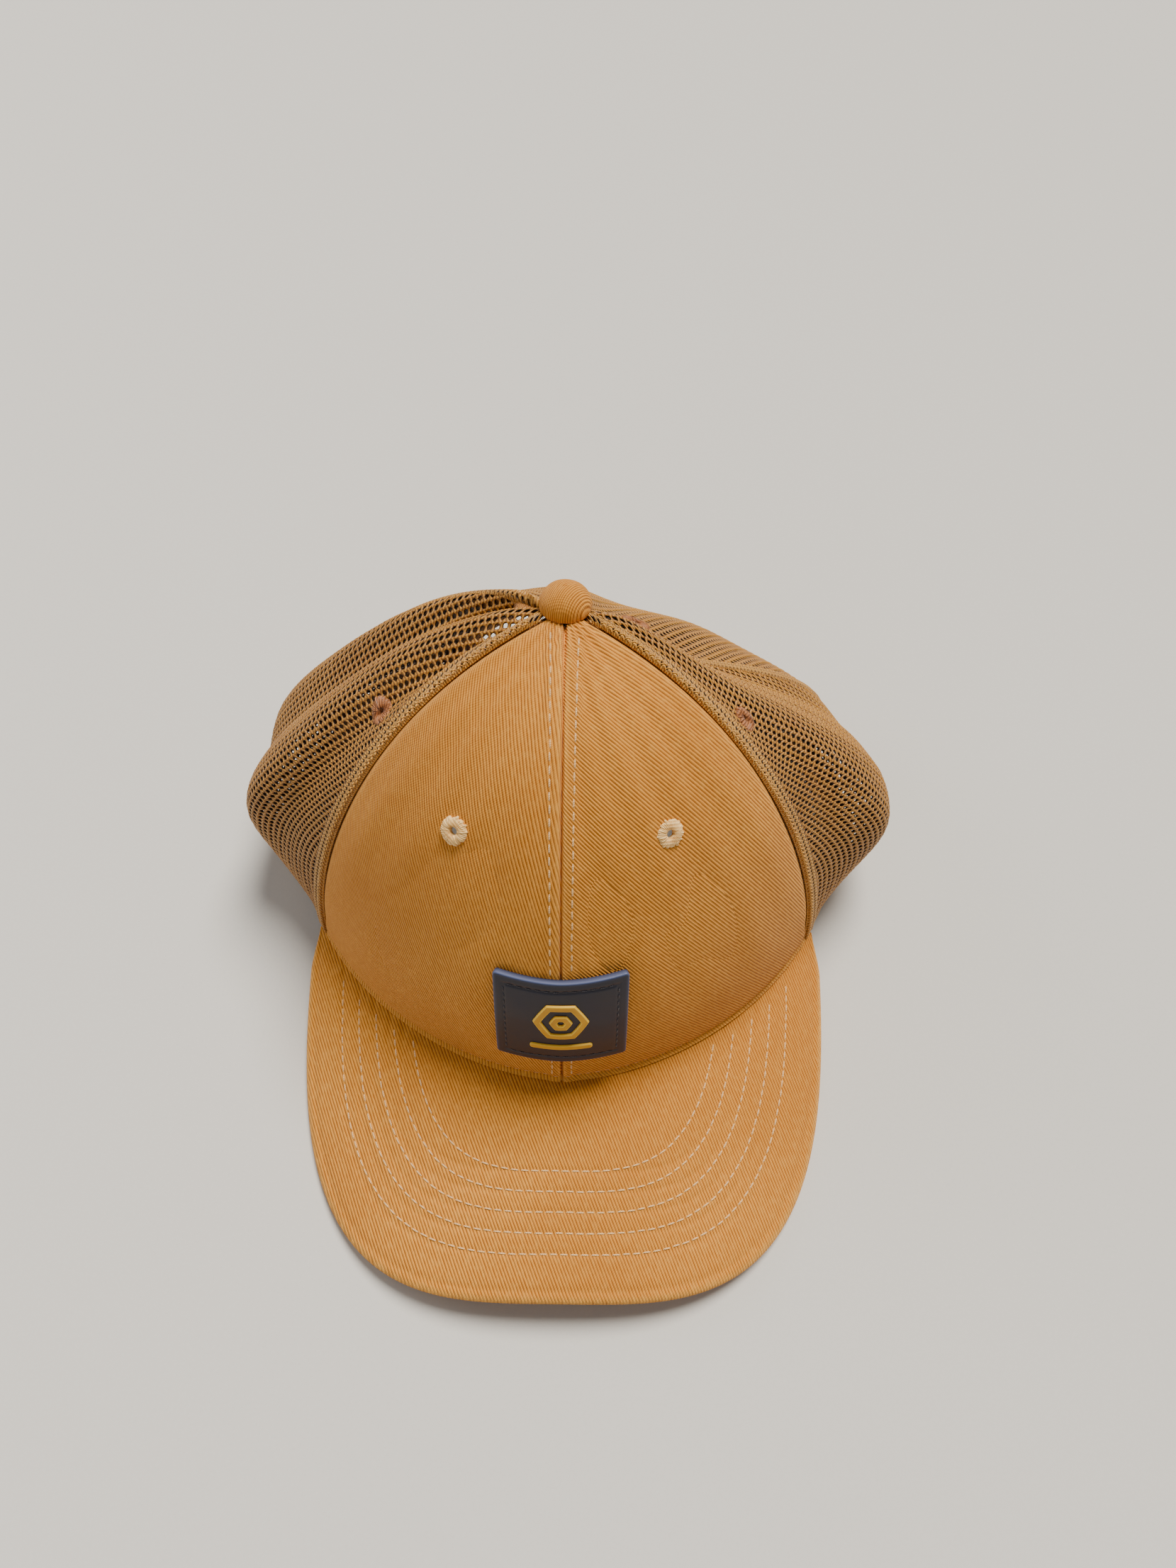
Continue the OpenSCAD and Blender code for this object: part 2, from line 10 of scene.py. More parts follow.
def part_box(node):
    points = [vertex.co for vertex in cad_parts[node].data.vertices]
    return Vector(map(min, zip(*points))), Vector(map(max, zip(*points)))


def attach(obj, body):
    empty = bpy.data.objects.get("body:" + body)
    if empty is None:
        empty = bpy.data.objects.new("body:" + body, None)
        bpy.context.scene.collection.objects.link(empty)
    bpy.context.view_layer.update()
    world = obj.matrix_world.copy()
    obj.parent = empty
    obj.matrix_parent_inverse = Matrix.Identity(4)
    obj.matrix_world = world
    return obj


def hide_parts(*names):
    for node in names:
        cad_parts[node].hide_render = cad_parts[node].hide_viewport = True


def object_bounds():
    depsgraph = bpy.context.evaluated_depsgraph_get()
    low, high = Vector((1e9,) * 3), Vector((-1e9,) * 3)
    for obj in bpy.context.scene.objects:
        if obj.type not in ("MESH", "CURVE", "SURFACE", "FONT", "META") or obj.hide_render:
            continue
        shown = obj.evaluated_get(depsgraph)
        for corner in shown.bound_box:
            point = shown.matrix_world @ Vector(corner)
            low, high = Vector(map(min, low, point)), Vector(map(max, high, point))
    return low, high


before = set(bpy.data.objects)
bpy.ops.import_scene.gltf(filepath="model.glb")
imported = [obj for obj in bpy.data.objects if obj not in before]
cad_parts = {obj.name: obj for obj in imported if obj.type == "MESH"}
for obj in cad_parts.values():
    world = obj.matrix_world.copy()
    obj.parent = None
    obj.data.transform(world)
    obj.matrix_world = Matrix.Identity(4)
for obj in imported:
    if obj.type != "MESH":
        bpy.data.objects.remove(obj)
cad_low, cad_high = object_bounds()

MM = 0.001
rng = np.random.default_rng(7)

# ---- driving dimensions, the same as the CAD's ----
CROWN_HALF_W = 99.0
CROWN_FRONT = 109.0
CROWN_BACK = 80.0
CROWN_H = 134.0
HEM_FRONT_H = 21.0
HEM_SIDE_H = 8.0
MESH_FLARE = 79.0
RIM_POWER = 1.15
TOP_RADIUS = 6.0
EXPONENTS = ((0.85, 1.05), (1.46, 1.29), (1.67, 1.34))
VISOR_HALF_W = 90.0
VISOR_LEN = 135.5
VISOR_SQUARE = 3.25
VISOR_FALL = 0.17
VISOR_EASE = 0.2
VISOR_BEHIND = 39.0
VISOR_UP = 5.0
VISOR_T = 4.0
ARCH_H = 50.0
ARCH_HALF_ANGLE = 26.0
SIDES = ((1, "right"), (-1, "left"))

# Places that come from the frame
visor_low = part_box("visor_top_cover")[0]
CROWN_Y = visor_low.y / MM + VISOR_BEHIND + VISOR_LEN
TOP_Y = CROWN_Y - 4
VISOR_Y = CROWN_Y - VISOR_BEHIND


# ---- small sums ----
def smooth(x, low, high):
    f = np.clip((x - low) / (high - low), 0, 1)
    return f * f * (3 - 2 * f)


def bump(x, centre, width):
    return np.exp(-((x - centre) / width) ** 2)


def sin(a):
    return np.sin(np.radians(a))


def cos(a):
    return np.cos(np.radians(a))


def wrap(p):
    return (np.asarray(p, float) + 180) % 360 - 180


def spun(y, z, angle):
    """Two coordinates turned by an angle, the first towards the second."""
    c, s = math.cos(math.radians(angle)), math.sin(math.radians(angle))
    return y * c - z * s, y * s + z * c


def unit(vectors):
    return vectors / np.linalg.norm(vectors, axis=-1, keepdims=True)


def arc_lengths(points):
    """How far along a line of points each one is."""
    return np.concatenate([[0], np.cumsum(np.linalg.norm(np.diff(points, axis=0), axis=1))])


# ---- crown surface: p is the angle round it from the front, and t the angle up it ----
def rim_x(p):
    return CROWN_HALF_W * np.sign(sin(p)) * np.abs(sin(p)) ** RIM_POWER


def rim_y(p):
    return CROWN_Y - np.where(cos(p) > 0, CROWN_FRONT, CROWN_BACK) * cos(p)


def arch_z(x):
    return (HEM_FRONT_H - HEM_SIDE_H) * (1 - (x / rim_x(60)) ** 2)


def hem_z(p):
    a = np.abs(p)
    back = HEM_SIDE_H * np.maximum(0, 1 - (a - 60) / 80) ** 2
    return np.where(a <= 60, HEM_SIDE_H + arch_z(rim_x(a)), back)


def exponent(p, k):
    a = np.abs(p)
    front, side, back = (e[k] for e in EXPONENTS)
    return front + (side - front) * smooth(a, 51, 100) + (back - side) * smooth(a, 100, 180)


def flare(p, t):
    a = np.abs(p)
    round_it = smooth(a, 60, 82) * (1 - smooth(a, 100, 180))
    return MESH_FLARE * round_it * np.maximum(sin(t), 0) ** 1.02 * cos(t) ** 5


def base_surface(p, t, slack=1.0):
    p = wrap(p)
    t = np.clip(t, 0.0, 89.9)
    out = np.maximum(cos(t), 0) ** exponent(p, 0)
    up = np.maximum(sin(t), 0) ** exponent(p, 1)
    f = flare(p, t) * slack
    x = rim_x(p) * out + np.sign(p) * f
    y = TOP_Y + (rim_y(p) - TOP_Y) * out - 0.27 * f
    z = hem_z(p) + (CROWN_H - hem_z(p)) * up
    return np.stack([x, y, z], -1)


def way_out(place, p, t, around, up, slack):
    """Unit vectors out of a surface, from a step round it and a step up it; level at the hem."""
    dp = place(p + around, t, slack) - place(p - around, t, slack)
    dt = place(p, t + up, slack) - place(p, t - up, slack)
    n = unit(np.cross(dp, dt))
    n[..., 2] *= smooth(t, 0, 14)
    return unit(n)


# Slack mesh doesn't stand evenly: the left side stands out, the right leans in, and both fold.
# A fold is (side, angle round the crown at its middle, lean, height, half width).
FOLDS = (
    (-1, 71, 0.0, -7.5, 6.5),
    (-1, 84, 0.10, 1.2, 6.0),
    (-1, 98, 0.16, -2.6, 7.0),
    (-1, 112, 0.05, 3.0, 7.0),
    (-1, 140, -0.10, -2.0, 9.0),
    (1, 66, 0.0, -2.2, 6.0),
    (1, 85, 0.0, 2.6, 9.0),
    (1, 110, 0.05, -3.0, 9.0),
    (1, 146, -0.1, 1.6, 9.0),
)


def slump(p, t):
    """How far the mesh stands out of its even shape, along the normal."""
    p = wrap(p)
    a = np.abs(p)
    inside = smooth(a, 62, 80) * (1 - smooth(a, 160, 179))
    held = smooth(t, 6, 26) * (1 - smooth(t, 74, 87))
    left = 5.0 * bump(t, 56, 20) + 1.0 * bump(t, 26, 12)
    right = -4.0 * bump(t, 52, 18) + 0.5 * bump(t, 22, 11)
    out = np.where(p < 0, left, right) * (1 - smooth(a, 118, 160))
    out = out - np.where(p > 0, 13.0, 0) * bump(t, 60, 20) * bump(a, 140, 30)
    for side, angle, lean, height, width in FOLDS:
        middle = angle + lean * (t - 40)
        out = out + np.where(np.sign(p) == side, height, 0) * bump(a, middle, width)
    return out * inside * held


def surface(p, t, slack=1.0):
    s = base_surface(p, t, slack)
    out = way_out(base_surface, p, np.clip(t, 0.3, 88.5), 0.4, 0.25, slack)
    return s + (slump(p, t) * slack)[..., None] * out


def normal(p, t, slack=1.0):
    return way_out(surface, np.asarray(p, float), np.clip(t, 0.5, 88.5), 0.5, 0.4, slack)


def crown(p, t, depth=0.0, slack=1.0):
    """A point of the crown, depth inward from its outer surface."""
    p, t, depth = np.broadcast_arrays(np.asarray(p, float), t, depth)
    return surface(p, t, slack) - depth[..., None] * normal(p, t, slack)


def t_at(p, h):
    """The angle up the crown at a height above the hem."""
    p = wrap(p)
    share = np.clip(h / (CROWN_H - hem_z(p)), 0, 1)
    return np.degrees(np.arcsin(share ** (1 / exponent(p, 1))))


def t_top(p):
    p = wrap(p)
    reach = np.hypot(rim_x(p), rim_y(p) - TOP_Y)
    return np.degrees(np.arccos((TOP_RADIUS / reach) ** (1 / exponent(p, 0))))


def ring_radius(p, t):
    q = base_surface(p, t)
    return np.hypot(q[..., 0], q[..., 1] - TOP_Y)


# ---- shapes: points, faces as rows of point numbers, and cloth coordinates ----
class Shape:
    def __init__(self, points, faces, weave=None):
        self.points = np.asarray(points, float).reshape(-1, 3)
        self.faces = [np.asarray(f, int) for f in faces if len(f)]
        self.weave = np.zeros_like(self.points) if weave is None else np.asarray(weave, float).reshape(-1, 3)


def grid_faces(columns, rows, closed_columns=False, closed_rows=False):
    """Quads of a grid stored column by column, seen from outside with columns to the right."""
    i = np.arange(columns if closed_columns else columns - 1)
    j = np.arange(rows if closed_rows else rows - 1)
    i, j = np.meshgrid(i, j, indexing="ij")
    i2, j2 = (i + 1) % columns, (j + 1) % rows
    quads = [i * rows + j, i2 * rows + j, i2 * rows + j2, i * rows + j2]
    return np.stack(quads, -1).reshape(-1, 4)


def outward(shape):
    """Turns a closed shape's faces to look out."""
    total = 0.0
    for f in shape.faces:
        for k in range(1, f.shape[1] - 1):
            a, b, c = shape.points[f[:, 0]], shape.points[f[:, k]], shape.points[f[:, k + 1]]
            total += np.einsum("ij,ij->", a, np.cross(b, c))
    if total < 0:
        shape.faces = [f[:, ::-1] for f in shape.faces]
    return shape


def shell(outer, inner, faces, weave, inner_painted_shade=0.0):
    """Closes two layers of the same quads into one sheet, with a wall along every border.
    The last argument is the least weave Z of the inner layer, which the knit paints as shade on its inside
    face."""
    outer, inner, weave = (a.reshape(-1, 3) for a in (outer, inner, weave))
    n = len(outer)
    start = faces.ravel()
    end = np.roll(faces, -1, axis=1).ravel()
    border = ~np.isin(start * n + end, end * n + start)
    s, e = start[border], end[border]
    walls = np.stack([e, s, s + n, e + n], -1)
    points = np.concatenate([outer, inner])
    under = weave.copy()
    # Painted shade: the inner layer's weave Z is raised to at least the last argument.
    under[:, 2] = np.maximum(under[:, 2], inner_painted_shade)
    return outward(compact(Shape(points, [faces, faces[:, ::-1] + n, walls], np.concatenate([weave, under]))))


def compact(shape):
    """Drops the points that no face uses."""
    used = np.unique(np.concatenate([f.ravel() for f in shape.faces]))
    number = np.zeros(len(shape.points), int)
    number[used] = np.arange(len(used))
    return Shape(shape.points[used], [number[f] for f in shape.faces], shape.weave[used])


def loop_solid(sections, weave, closed=False):
    """A solid swept along a path: sections[i][k] is point k of the closed section i, with flat ends."""
    n, m = sections.shape[:2]
    faces = [grid_faces(n, m, closed_columns=closed, closed_rows=True)]
    if not closed:
        faces += [np.arange(m)[None, ::-1], np.arange(m)[None] + (n - 1) * m]
    return outward(Shape(sections, faces, weave))


def swept(place, steps, section):
    """A solid whose section is a closed loop of (across, out). place takes steps, across and out."""
    section = np.asarray(section, float)
    s, k = np.meshgrid(np.arange(len(steps)), np.arange(len(section)), indexing="ij")
    points = place(np.asarray(steps, float)[s], section[k, 0], section[k, 1])
    along = arc_lengths(points.mean(1))
    rim = np.cumsum(np.linalg.norm(np.diff(points[0], axis=0, prepend=points[:1, -1]), axis=1))
    return loop_solid(points, np.stack([along[:, None] + 0 * s, rim[None] + 0 * s, 0.0 * s], -1))


def rounded(low, high, inner, outer, radius):
    """A closed loop of (across, out) round a box with rounded corners."""
    loop = []
    centres = ((low, inner, 180), (high, inner, 270), (high, outer, 0), (low, outer, 90))
    for k, (x, y, start) in enumerate(centres):
        cx = x + radius * (1 if x == low else -1)
        cy = y + radius * (1 if y == inner else -1)
        for a in np.linspace(start, start + 90, 3):
            loop.append((cx + radius * cos(a), cy + radius * sin(a)))
        if k % 2 == 0:
            across = np.linspace(low + radius, high - radius, 4)[1:-1]
            across = across if k == 0 else across[::-1]
            loop += [(x2, inner if k == 0 else outer) for x2 in across]
    return loop


def revolved(profile, columns, place, ripple=None, closed=True):
    """A shape of revolution: profile is (radius, height) pairs, and ripple changes them with the
    angle. If closed is False, flat caps join the profile's ends to the axis."""
    profile = np.asarray(profile, float)
    angle = np.arange(columns) * 360 / columns
    a, k = np.meshgrid(angle, np.arange(len(profile)), indexing="ij")
    r, z = profile[k, 0], profile[k, 1]
    if ripple is not None:
        r, z = ripple(a, r, z)
    points = place(np.stack([r * cos(a), r * sin(a), z], -1))
    weave = np.stack([r * cos(a), r * sin(a), a / 360], -1)
    faces = [grid_faces(columns, len(profile), closed_columns=True, closed_rows=closed)]
    if not closed:
        ring = np.arange(columns) * len(profile)
        faces += [ring[None], ring[None, ::-1] + len(profile) - 1]
    return outward(Shape(points, faces, weave))


STITCH_SINK = 0.1


def stitch_row(points, normals, length, gap, width, height, slant=0.0):
    """Stitches along a path on a surface, each one a short thread that dips in at both ends."""
    distance = arc_lengths(points)
    count = int((distance[-1] + gap) / (length + gap))
    if count < 1:
        return None
    start = np.arange(count) * (length + gap) + (distance[-1] + gap - count * (length + gap)) / 2
    station = np.array([0.0, 0.12, 0.35, 0.65, 0.88, 1.0])
    size = np.array([0.35, 0.85, 1.0, 1.0, 0.85, 0.35])
    lift = np.array([-0.9, -0.1, 0.25, 0.25, -0.1, -0.9]) * height
    at = start[:, None] + station[None] * length

    def along(values, places):
        return np.stack([np.interp(places, distance, values[:, k]) for k in range(3)], -1)

    centre = along(points, at)
    n = unit(along(normals, at))
    side = unit(np.cross(along(points, at + 0.3) - along(points, at - 0.3), n))
    jitter = rng.normal(0, 0.04, (count, 1, 1))
    centre = centre + side * (jitter + slant * (station - 0.5)[None, :, None])
    centre = centre + n * (lift[None, :, None] - STITCH_SINK + height)
    ring = np.arange(6) * 60.0
    wide = (width * size)[None, :, None] * cos(ring)
    high = (height * size)[None, :, None] * sin(ring)
    solid = centre[:, :, None] + side[:, :, None] * wide[..., None] + n[:, :, None] * high[..., None]
    m = len(station)
    per = m * 6
    one = [grid_faces(m, 6, closed_rows=True), np.arange(6)[None, ::-1], np.arange(6)[None] + (m - 1) * 6]
    faces = [(f[None] + (np.arange(count) * per)[:, None, None]).reshape(-1, f.shape[1]) for f in one]
    flat = np.zeros((count, m, 6))
    weave = np.stack([flat + (station * length)[None, :, None], flat + np.arange(6) / 6, flat], -1)
    return outward(Shape(solid, faces, weave))


def make(name, shapes, material, slot, body="root", replaced=(), sharp=50):
    """One piece from its shapes, riding on its body."""
    shapes = shapes if isinstance(shapes, list) else [shapes]
    starts = np.cumsum([0] + [len(s.points) for s in shapes])
    points = np.concatenate([s.points for s in shapes]) * MM
    weave = np.concatenate([s.weave for s in shapes])
    groups = [f + start for s, start in zip(shapes, starts) for f in s.faces]
    totals = np.concatenate([np.full(len(f), f.shape[1]) for f in groups])
    loops = np.concatenate([f.ravel() for f in groups])
    mesh = bpy.data.meshes.new(name)
    mesh.vertices.add(len(points))
    mesh.vertices.foreach_set("co", points.astype(np.float32).ravel())
    mesh.loops.add(len(loops))
    mesh.loops.foreach_set("vertex_index", loops.astype(np.int32))
    mesh.polygons.add(len(totals))
    mesh.polygons.foreach_set("loop_start", np.concatenate([[0], np.cumsum(totals)[:-1]]).astype(np.int32))
    mesh.polygons.foreach_set("use_smooth", np.ones(len(totals), bool))
    mesh.update(calc_edges=True)
    mesh.validate()
    layer = mesh.attributes.new("weave", "FLOAT_VECTOR", "POINT")
    layer.data.foreach_set("vector", weave.astype(np.float32).ravel())
    mesh.set_sharp_from_angle(angle=math.radians(sharp))
    mesh.materials.append(material)
    piece = bpy.data.objects.new(name, mesh)
    bpy.context.scene.collection.objects.link(piece)
    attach(piece, body)
    if replaced:
        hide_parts(*replaced)
    return piece


# ---- materials ----
def srgb(r, g, b):
    """A linear colour from one given as a screen shows it, 0 to 255."""
    c = np.array([r, g, b]) / 255
    return tuple(np.where(c <= 0.04045, c / 12.92, ((c + 0.055) / 1.055) ** 2.4)) + (1.0,)


class Nodes:
    """Short forms for building a node tree."""

    def __init__(self, name, roughness, sheen=0.0, sheen_roughness=0.5, specular=0.5, coat=0.0,
                 metallic=0.0):
        self.material = bpy.data.materials.new(name)
        self.material.use_nodes = True
        self.tree = self.material.node_tree
        self.shader = self.tree.nodes["Principled BSDF"]
        levels = {"Roughness": roughness, "Sheen Weight": sheen, "Sheen Roughness": sheen_roughness,
                  "Specular IOR Level": specular, "Coat Weight": coat, "Metallic": metallic}
        for key, level in levels.items():
            self.feed(self.shader, key, level)

    def feed(self, node, key, value):
        """Links a socket to an input, or sets the input to a number or colour."""
        if isinstance(value, bpy.types.NodeSocket):
            self.tree.links.new(value, node.inputs[key])
        else:
            node.inputs[key].default_value = value

    def new(self, kind, **inputs):
        node = self.tree.nodes.new("ShaderNode" + kind)
        for key, value in inputs.items():
            self.feed(node, key.replace("_", " "), value)
        return node

    def weave(self):
        node = self.new("Attribute")
        node.attribute_name = "weave"
        split = self.new("SeparateXYZ", Vector=node.outputs["Vector"])
        return node.outputs["Vector"], split.outputs["X"], split.outputs["Y"], split.outputs["Z"]

    def place(self):
        return self.new("TexCoord").outputs["Object"]

    def math(self, operation, *values):
        node = self.new("Math")
        node.operation = operation
        for k, value in enumerate(values):
            self.feed(node, k, value)
        return node.outputs[0]

    def times(self, a, b):
        return self.math("MULTIPLY", a, b)

    def wave(self, value, kind="SINE"):
        """A sine of value, brought between 0 and 1."""
        return self.math("MULTIPLY_ADD", self.math(kind, value), 0.5, 0.5)

    def total(self, *parts):
        """The sum of (value, share) pairs."""
        total = self.times(*parts[0])
        for value, share in parts[1:]:
            total = self.math("ADD", total, self.times(value, share))
        return total

    def scaled(self, vector, x, y, z):
        node = self.new("VectorMath")
        node.operation = "MULTIPLY"
        self.feed(node, 0, vector)
        self.feed(node, 1, (x, y, z))
        return node.outputs[0]

    def noise(self, vector, scale, detail=2.0, roughness=0.5):
        node = self.new("TexNoise", Vector=vector, Scale=scale, Detail=detail, Roughness=roughness)
        return node.outputs["Fac"]

    def ramp(self, value, low, high):
        """0 at low, 1 at high and clamped."""
        return self.new("MapRange", Value=value, From_Min=low, From_Max=high).outputs["Result"]

    def mix(self, factor, a, b):
        node = self.new("Mix")
        node.data_type = "RGBA"
        for key, value in ((0, factor), (6, a), (7, b)):
            self.feed(node, key, value)
        return node.outputs[2]

    def colour(self, value):
        self.feed(self.shader, "Base Color", value)

    def rough(self, value, low, high):
        node = self.new("MapRange", Value=value, To_Min=low, To_Max=high)
        self.feed(self.shader, "Roughness", node.outputs["Result"])

    def relief(self, height, distance, strength=1.0):
        """Bump, with the height in parts of distance (millimetres)."""
        node = self.new("Bump", Height=height, Strength=strength, Distance=distance * MM)
        self.feed(self.shader, "Normal", node.outputs["Normal"])


TAU = 2 * math.pi
RIB_PITCH = 0.95
YARN_PITCH = 0.62
TAN = srgb(230, 156, 60)
TAN_DARK = srgb(156, 88, 20)
TAN_LIGHT = srgb(252, 188, 92)
# The near-black brown painted as shade into the knit's hole rims and inside face.
KNIT_PAINTED_SHADE = srgb(34, 14, 2)


def canvas_material(name, light, dark, pale):
    """Twill: ribs across weave X, yarns along Y, and Z is how worn the place is."""
    n = Nodes(name, 0.86, sheen=0.06, sheen_roughness=0.5, specular=0.2)
    vector, x, y, wear = n.weave()
    wobble = n.noise(n.scaled(vector, 0.12, 0.03, 0), 1.0, 2.0)
    phase = n.total((x, TAU / RIB_PITCH), (wobble, 1.2))
    rib = n.wave(phase)
    yarn = n.math("SINE", n.total((y, TAU / YARN_PITCH), (phase, 0.5)))
    slub = n.noise(n.scaled(vector, 0.9, 0.3, 0), 1.0, 3.0, 0.7)
    fuzz = n.noise(n.place(), 2600.0, 2.0)
    cloud = n.noise(n.place(), 17.0, 3.0, 0.55)
    tone = n.mix(n.ramp(rib, 0.02, 0.5), dark, light)
    tone = n.mix(n.times(n.ramp(slub, 0.45, 0.8), 0.45), tone, pale)
    tone = n.mix(n.times(n.ramp(cloud, 0.35, 0.7), 0.3), tone, dark)
    n.colour(n.mix(n.times(wear, n.ramp(slub, 0.2, 0.8)), tone, pale))
    n.relief(n.total((rib, 0.7), (yarn, 0.1), (fuzz, 0.2)), 0.26, 1.0)
    n.rough(slub, 0.8, 0.95)
    return n.material


def knit_material(name, light, dark, painted_highlight):
    """Knit: wales along weave Y, X across them in wales, Z how much painted shade a place gets, most at the
    hole rims and on the inside face.
    The yarns slant the other way in each next wale."""
    n = Nodes(name, 0.5, sheen=0.05, sheen_roughness=0.4, specular=0.5)
    vector, x, y, painted_shade = n.weave()
    ply = n.wave(n.total((y, TAU * 2), (n.math("PINGPONG", x, 1.0), TAU)))
    chain = n.wave(n.times(x, TAU), "COSINE")
    fibre = n.noise(n.scaled(vector, 9.0, 3.0, 0), 1.0, 2.0)
    cloud = n.noise(n.place(), 30.0, 3.0, 0.6)
    tone = n.mix(ply, dark, light)
    tone = n.mix(n.times(n.ramp(cloud, 0.3, 0.75), 0.4), tone, dark)
    # Painted highlight: random fibre spots are lifted towards a highlight colour.
    tone = n.mix(n.times(n.ramp(fibre, 0.55, 0.8), 0.6), tone, painted_highlight)
    # Painted shade: weave Z darkens the hole rims, the hollows between yarns and the inside face towards a
    # near-black brown.
    n.colour(n.mix(painted_shade, tone, KNIT_PAINTED_SHADE))
    n.relief(n.total((ply, 0.7), (chain, 0.5), (fibre, 0.3)), 0.3, 0.8)
    n.rough(fibre, 0.4, 0.62)
    return n.material


def thread_material(name, light, dark, twist=1.6):
    """Thread: weave X runs along it and Y round it, in turns."""
    n = Nodes(name, 0.55, sheen=0.3, sheen_roughness=0.4, specular=0.4)
    x, y = n.weave()[1:3]
    ply = n.wave(n.total((x, TAU * twist), (y, TAU)))
    n.colour(n.mix(ply, dark, light))
    n.relief(ply, 0.08, 0.8)
    n.rough(ply, 0.45, 0.65)
    return n.material


def plain_weave_material(name, light, dark, pitch, depth, roughness=0.8):
    """Plain weave: warp along weave Y and weft along X, both in millimetres."""
    n = Nodes(name, roughness, sheen=0.2, specular=0.3)
    vector, x, y = n.weave()[:3]
    warp, weft = (n.math("SINE", n.times(v, TAU / pitch)) for v in (x, y))
    cross = n.math("MULTIPLY_ADD", n.times(warp, weft), 0.5, 0.5)
    slub = n.noise(n.scaled(vector, 0.7, 0.2, 0), 1.0, 3.0, 0.6)
    tone = n.mix(cross, dark, light)
    n.colour(n.mix(n.times(n.ramp(slub, 0.3, 0.8), 0.5), tone, dark))
    n.relief(n.total((cross, 1.0), (slub, 0.3)), depth, 0.8)
    n.rough(slub, roughness - 0.08, roughness + 0.08)
    return n.material


def rubber_material(name, light, dark, edge):
    """Moulded rubber: fine grain, and weave Z marks the bevelled edges and raised tops, which take a painted
    highlight in the lighter edge colour.
    """
    n = Nodes(name, 0.5, specular=0.4, coat=0.05)
    bevel_highlight = n.weave()[3]
    grain = n.noise(n.place(), 5200.0, 3.0, 0.6)
    cloud = n.noise(n.place(), 90.0, 3.0, 0.6)
    tone = n.mix(n.ramp(cloud, 0.3, 0.75), dark, light)
    # Painted highlight: the bevels and raised tops are mixed towards the lighter edge colour.
    n.colour(n.mix(bevel_highlight, tone, edge))
    n.relief(grain, 0.04, 0.5)
    n.rough(cloud, 0.42, 0.6)
    return n.material


def plastic_material(name, light, dark):
    n = Nodes(name, 0.35, specular=0.5)
    grain = n.noise(n.place(), 1800.0, 2.0)
    flow = n.noise(n.place(), 60.0, 3.0, 0.6)
    n.colour(n.mix(n.ramp(flow, 0.3, 0.75), dark, light))
    n.relief(grain, 0.03, 0.4)
    n.rough(flow, 0.28, 0.45)
    return n.material


def metal_material(name):
    n = Nodes(name, 0.4, metallic=1.0)
    scratch = n.noise(n.scaled(n.place(), 1.0, 1.0, 8.0), 400.0, 3.0, 0.6)
    n.colour(n.mix(scratch, srgb(165, 165, 168), srgb(215, 215, 218)))
    n.relief(scratch, 0.02, 0.4)
    n.rough(scratch, 0.3, 0.5)
    return n.material


canvas = canvas_material("canvas_twill", TAN, TAN_DARK, TAN_LIGHT)
# Each knit's third colour is the painted highlight on random fibre spots.
knit = knit_material("knit_mesh", srgb(228, 160, 54), srgb(138, 80, 16), srgb(255, 222, 122))
knit_fold = knit_material("knit_mesh_doubled", srgb(240, 178, 76), srgb(160, 100, 28), srgb(255, 228, 140))
pale_thread = thread_material("pale_thread", srgb(240, 200, 142), srgb(212, 164, 104))
eyelet_thread = thread_material("eyelet_pale_thread", srgb(254, 220, 152), srgb(230, 184, 112), 0.4)
brown_thread = thread_material("eyelet_brown_thread", srgb(184, 120, 72), srgb(122, 72, 36), 0.4)
navy_thread = thread_material("navy_thread", srgb(40, 40, 58), srgb(20, 20, 32))
# The buckram is darkened to a brown that paints the shade inside the crown.
buckram_shaded_cloth = plain_weave_material("buckram_shaded_cloth", srgb(150, 116, 76), srgb(92, 66, 38), 1.4, 0.3)
tape_cloth = plain_weave_material("tape_cloth", srgb(206, 142, 72), srgb(150, 94, 40), 0.7, 0.14)
band_cloth = plain_weave_material("sweatband_cloth", srgb(172, 122, 66), srgb(122, 82, 40), 0.6, 0.12, 0.88)
label_cloth = plain_weave_material("label_satin", srgb(240, 238, 232), srgb(214, 210, 200), 0.35, 0.05, 0.5)
# The third colour of each rubber is the painted highlight on its bevels and raised tops.
navy_rubber = rubber_material("navy_rubber", srgb(28, 29, 48), srgb(20, 21, 36), srgb(80, 90, 128))
yellow_rubber = rubber_material("yellow_rubber", srgb(226, 166, 12), srgb(206, 146, 8), srgb(248, 200, 60))
brown_plastic = plastic_material("brown_plastic", srgb(150, 104, 58), srgb(124, 82, 42))
board_plastic = plastic_material("board_plastic", srgb(236, 236, 230), srgb(220, 220, 212))
button_metal = metal_material("button_metal")

# ---- eyelet places, and the openings under them ----
EYELET_R = 4.0
EYELET_BORE = 1.2
EYELET_CUT = 2.3
BUCKRAM_CUT = 3.6
FRONT_EYELET = (31.0, 52.5)
SIDE_EYELET = (72.4, 53.6)
BACK_EYELET = (150.0, 50.0)


def clear_of_eyelets(points, places, radius):
    """Which points lie outside the eyelets' openings."""
    keep = np.ones(len(points), bool)
    for p, t in places:
        keep &= np.linalg.norm(points - surface(np.array(p), np.array(t)), axis=1) > radius
    return keep


def mirrored(place, side):
    return [(side * place[0], place[1])]


# ---- canvas front panels ----
CLOTH_T = 0.9
TWILL_ANGLE = -60.0


def arc_rows(p, step, t_end):
    """Angles up the crown from the hem, evenly spaced in length, and those lengths."""
    t = np.linspace(float(t_at(p, 0)), t_end, 600)
    length = arc_lengths(surface(np.full(600, p), t))
    rows = np.linspace(0, length[-1], int(length[-1] / step) + 1)
    return np.interp(rows, length, t), rows


